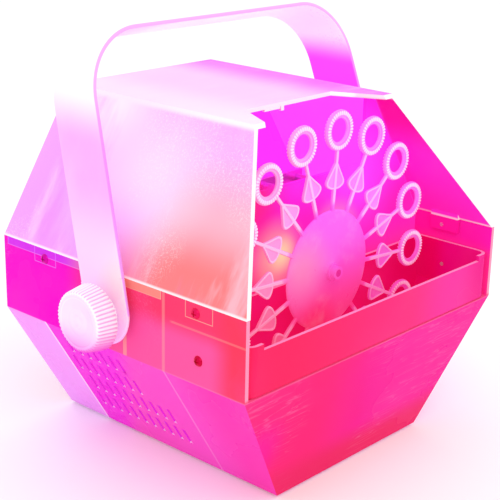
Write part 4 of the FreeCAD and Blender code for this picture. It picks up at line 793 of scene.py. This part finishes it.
def build_wheel():
    """The disc and its sixteen wands, each a stem, a paddle and a ring."""
    shape = Shape()
    add_hub(shape)
    for number in range(WANDS):
        wand = FIRST_WAND + 2 * math.pi * number / WANDS
        add_ring(shape, wand)
        add_stem(shape, wand)
        add_paddle(shape, wand)
    return piece_of("wand_wheel", shape.points, shape.faces, "wheel_plastic", "wheel",
                    "bubble_wheel")


# A knob's section as (outwards, radius, share of the rib's height) from its neck to its face.
KNOB_PROFILE = [
    (0, 4.0, 0), (0, 13.4, 0), (0.3, 14.0, 0), (6.6, 14.0, 0), (6.6, 20.6, 0), (6.8, 21.3, 0.2),
    (7.5, 21.8, 1), (12, 21.1, 1), (16, 20.45, 1), (19.4, 19.9, 1), (20.6, 19.65, 1),
    (21.3, 19.2, 0.8), (21.8, 18.5, 0.1), (22.15, 17.8, 0), (22.15, 17.0, 0), (21.9, 16.2, 0),
    (21.5, 15.7, 0), (21.45, 9.6, 0), (21.25, 9.3, 0), (21.25, 8.9, 0), (21.45, 8.6, 0),
    (21.45, 4.4, 0), (21.25, 4.1, 0), (21.25, 3.7, 0), (21.45, 3.4, 0), (21.45, 0.5, 0)]


def build_knob(side, sign):
    """A ribbed knob with a rounded rim round its face and faint rings on it."""
    anchor = Vector(anchor_of(side + "_knob_turn")) / MM
    around = len(KNOB_PROFILE)
    points = []
    for angle in turn_of(KNOB_RIBS * STEPS_PER_RIB):
        rib = 1.6 * (0.5 + 0.5 * math.cos(KNOB_RIBS * angle)) ** RIB_SHARPNESS - 0.6
        for out, radius, share in KNOB_PROFILE:
            reach = radius + KNOB_RIB * share * rib
            points.append(Vector((anchor.x + sign * out, reach * math.sin(angle),
                                  reach * math.cos(angle) + anchor.z)) * MM)
    count = len(points) // around
    faces = []
    for row in range(count):
        here, there = row * around, (row + 1) % count * around
        for at in range(around - 1):
            face = (here + at, here + at + 1, there + at + 1, there + at)
            faces.append(face if sign < 0 else face[::-1])
    rim = [row * around + around - 1 for row in range(count)]
    back = [row * around for row in range(count)]
    faces.append(tuple(rim if sign < 0 else rim[::-1]))
    faces.append(tuple(back[::-1] if sign < 0 else back))
    return piece_of(side + "_knob_ribbed", points, faces, "knob_plastic", "knob_" + side,
                    side + "_knob")


def strap_point(across, along, up):
    """A point of the strap: across the machine, along the strap's width, up from its pivot."""
    anchor = anchor_of("handle_swing")
    return Vector((
        across * MM,
        anchor[1] + (along * math.cos(GRIP_LEAN) + up * math.sin(GRIP_LEAN)) * MM,
        anchor[2] + (up * math.cos(GRIP_LEAN) - along * math.sin(GRIP_LEAN)) * MM,
    ))


def strap_path():
    """Points along the strap's middle, from the right leg to the left one, with outward turns."""
    lean = math.atan(GRIP_TAPER)
    half = STRAP_THICK / 2
    side = []
    bend_up = GRIP_HIGH - GRIP_CORNER
    bend_across = GRIP_HALF - GRIP_TAPER * bend_up - GRIP_CORNER / math.cos(lean)
    leg_top = bend_up + GRIP_CORNER * math.sin(lean)
    legs = 12
    for step in range(legs):
        up = STRAP_WIDE / 2 + (leg_top - STRAP_WIDE / 2) * step / legs
        across = GRIP_HALF - GRIP_TAPER * up
        side.append((across + half * math.cos(lean), up + half * math.sin(lean), lean))
    bends = 28
    for step in range(bends + 1):
        turn = lean + (math.pi / 2 - lean) * step / bends
        reach = GRIP_CORNER + half
        side.append((bend_across + reach * math.cos(turn), bend_up + reach * math.sin(turn), turn))
    for share in (0.75, 0.5, 0.25):
        side.append((bend_across * share, GRIP_HIGH + half, math.pi / 2))
    middle = [(0.0, GRIP_HIGH + half, math.pi / 2)]
    return side + middle + [(-across, up, math.pi - turn) for across, up, turn in reversed(side)]


def strap_section():
    """The strap's rounded section as (along its width, outwards) pairs."""
    wide, thick, edge = STRAP_WIDE / 2, STRAP_THICK / 2, STRAP_EDGE
    shares = ((0, 1), (0.1, 0.6), (0.3, 0.3), (0.6, 0.1), (1, 0), (4, 0))
    corner = [(wide - along * edge, thick - out * edge) for along, out in shares]
    top = corner + [(-along, out) for along, out in reversed(corner)]
    return top + [(-along, -out) for along, out in top]


def add_strap(shape):
    """The strap from one leg over the top to the other."""
    loops = []
    for across, up, turn in strap_path():
        loops.append([strap_point(across + out * math.cos(turn), along, up + out * math.sin(turn))
                      for along, out in strap_section()])
    shape.loft(loops, closed=False)


def add_strap_foot(shape, sign):
    """The rounded end of a leg, with the hole that the knob's stud goes through."""
    lean = math.atan(GRIP_TAPER)
    wide, thick, edge = STRAP_WIDE / 2, STRAP_THICK / 2, STRAP_EDGE
    loops = []
    for angle in turn_of(96):
        along, up = math.sin(angle), math.cos(angle)
        rim = wide / max(abs(along), abs(up)) if up > 0 else wide
        level = up > 0 and abs(up) >= abs(along)
        edged = 0 if level else edge
        loop = []
        section = ((PIVOT_HOLE, thick), (PIVOT_HOLE, -thick), (rim - edged, -thick),
                   (rim - 0.3 * edged, edged * 0.7 - thick), (rim, edged - thick),
                   (rim, thick - edged), (rim - 0.3 * edged, thick - 0.7 * edged),
                   (rim - edged, thick))
        for reach, out in section:
            height = up * reach
            across = GRIP_HALF - GRIP_TAPER * height + (thick + out) * math.cos(lean)
            loop.append(strap_point(sign * across, along * reach,
                                    height + (thick + out) * math.sin(lean)))
        loops.append(loop)
    shape.loft(loops if sign > 0 else loops[::-1])


def build_handle():
    """The bent strap with a drilled foot at the end of each leg."""
    shape = Shape()
    add_strap(shape)
    for sign in (-1, 1):
        add_strap_foot(shape, sign)
    return piece_of("strap_handle", shape.points, shape.faces, "handle_plastic", "handle",
                    "carry_handle")


# ---------------------------------------------------------------- stage

def add_floor():
    """A plain pale floor under the machine."""
    mesh = bpy.data.meshes.new("floor")
    half = 6.0
    corners = [(-half, -half, GROUND), (half, -half, GROUND), (half, half, GROUND),
               (-half, half, GROUND)]
    mesh.from_pydata(corners, [], [(0, 1, 2, 3)])
    floor = bpy.data.objects.new("floor", mesh)
    bpy.context.scene.collection.objects.link(floor)
    f = Finish("floor_paper", Roughness=0.85)
    f.paint(f.mix(f.noise(3, 2.0), "f4f3f4", "f8f7f8"), 0.12)
    mesh.materials.append(f.material)


def add_light(name, place, aim, size, power):
    """A soft round lamp that shines at a point."""
    data = bpy.data.lights.new(name, "AREA")
    data.shape = "DISK"
    data.size = size
    data.energy = power
    light = bpy.data.objects.new(name, data)
    bpy.context.scene.collection.objects.link(light)
    light.location = place
    light.rotation_euler = (Vector(aim) - Vector(place)).to_track_quat("-Z", "Y").to_euler()
    return light


def add_world():
    """Even white light from all round, shown without a film curve."""
    world = bpy.data.worlds.new("studio")
    world.use_nodes = True
    background = world.node_tree.nodes["Background"]
    background.inputs["Color"].default_value = (1.0, 1.0, 1.0, 1.0)
    background.inputs["Strength"].default_value = 1.0
    bpy.context.scene.world = world
    bpy.context.scene.view_settings.view_transform = "Standard"


# The camera's turn, height and roll in degrees, its lens and sensor in millimetres, and its
# distance and the height of its aim in metres.
CAMERA_ANGLES = (-48.05, 18.68, 1.30)
CAMERA_LENS = 92.5
CAMERA_SENSOR = 36
CAMERA_SHIFT = (-0.009, 0.0056)
CAMERA_AWAY = 0.9327
AIM_HIGH = 0.130


def add_camera():
    """A three-quarter view from the front left, a little above the machine."""
    azimuth, height, roll = (math.radians(degrees) for degrees in CAMERA_ANGLES)
    back = Vector((math.sin(azimuth) * math.cos(height), -math.cos(azimuth) * math.cos(height),
                   math.sin(height)))
    level = Vector((0, 0, 1)).cross(back).normalized()
    rise = back.cross(level)
    right = math.cos(roll) * level + math.sin(roll) * rise
    up = -math.sin(roll) * level + math.cos(roll) * rise
    data = bpy.data.cameras.new("camera")
    data.lens = CAMERA_LENS
    data.sensor_width = CAMERA_SENSOR
    data.shift_x, data.shift_y = CAMERA_SHIFT
    data.clip_start = 0.01
    camera = bpy.data.objects.new("camera", data)
    bpy.context.scene.collection.objects.link(camera)
    aim = Vector((0, 0, CASE_LOW + AIM_HIGH))
    turn = Matrix((right, up, back)).transposed().to_4x4()
    camera.matrix_world = Matrix.Translation(aim + back * CAMERA_AWAY) @ turn
    bpy.context.scene.camera = camera


# ---------------------------------------------------------------- the scene

FINE_EDGES = {"top_cover": 0.5, "base_housing": 0.0, "fluid_tank": 0.4, "rear_panel": 0.3,
              "partition": 0.3, "fan_bulkhead": 0.3}

for node_name in NODES:
    dress_node(node_name, FINE_EDGES.get(node_name, 0.12) * MM)

build_wheel()
build_knob("left", -1)
build_knob("right", 1)
build_handle()

add_floor()
add_world()
add_light("key", (-0.9, -1.1, 1.4), (0, 0, 0.12), 1.0, 4)
add_light("fill", (1.3, -0.9, 0.9), (0, 0, 0.12), 1.2, 2)
add_light("rim", (0.2, 1.4, 1.3), (0, 0, 0.15), 1.0, 2)
add_camera()
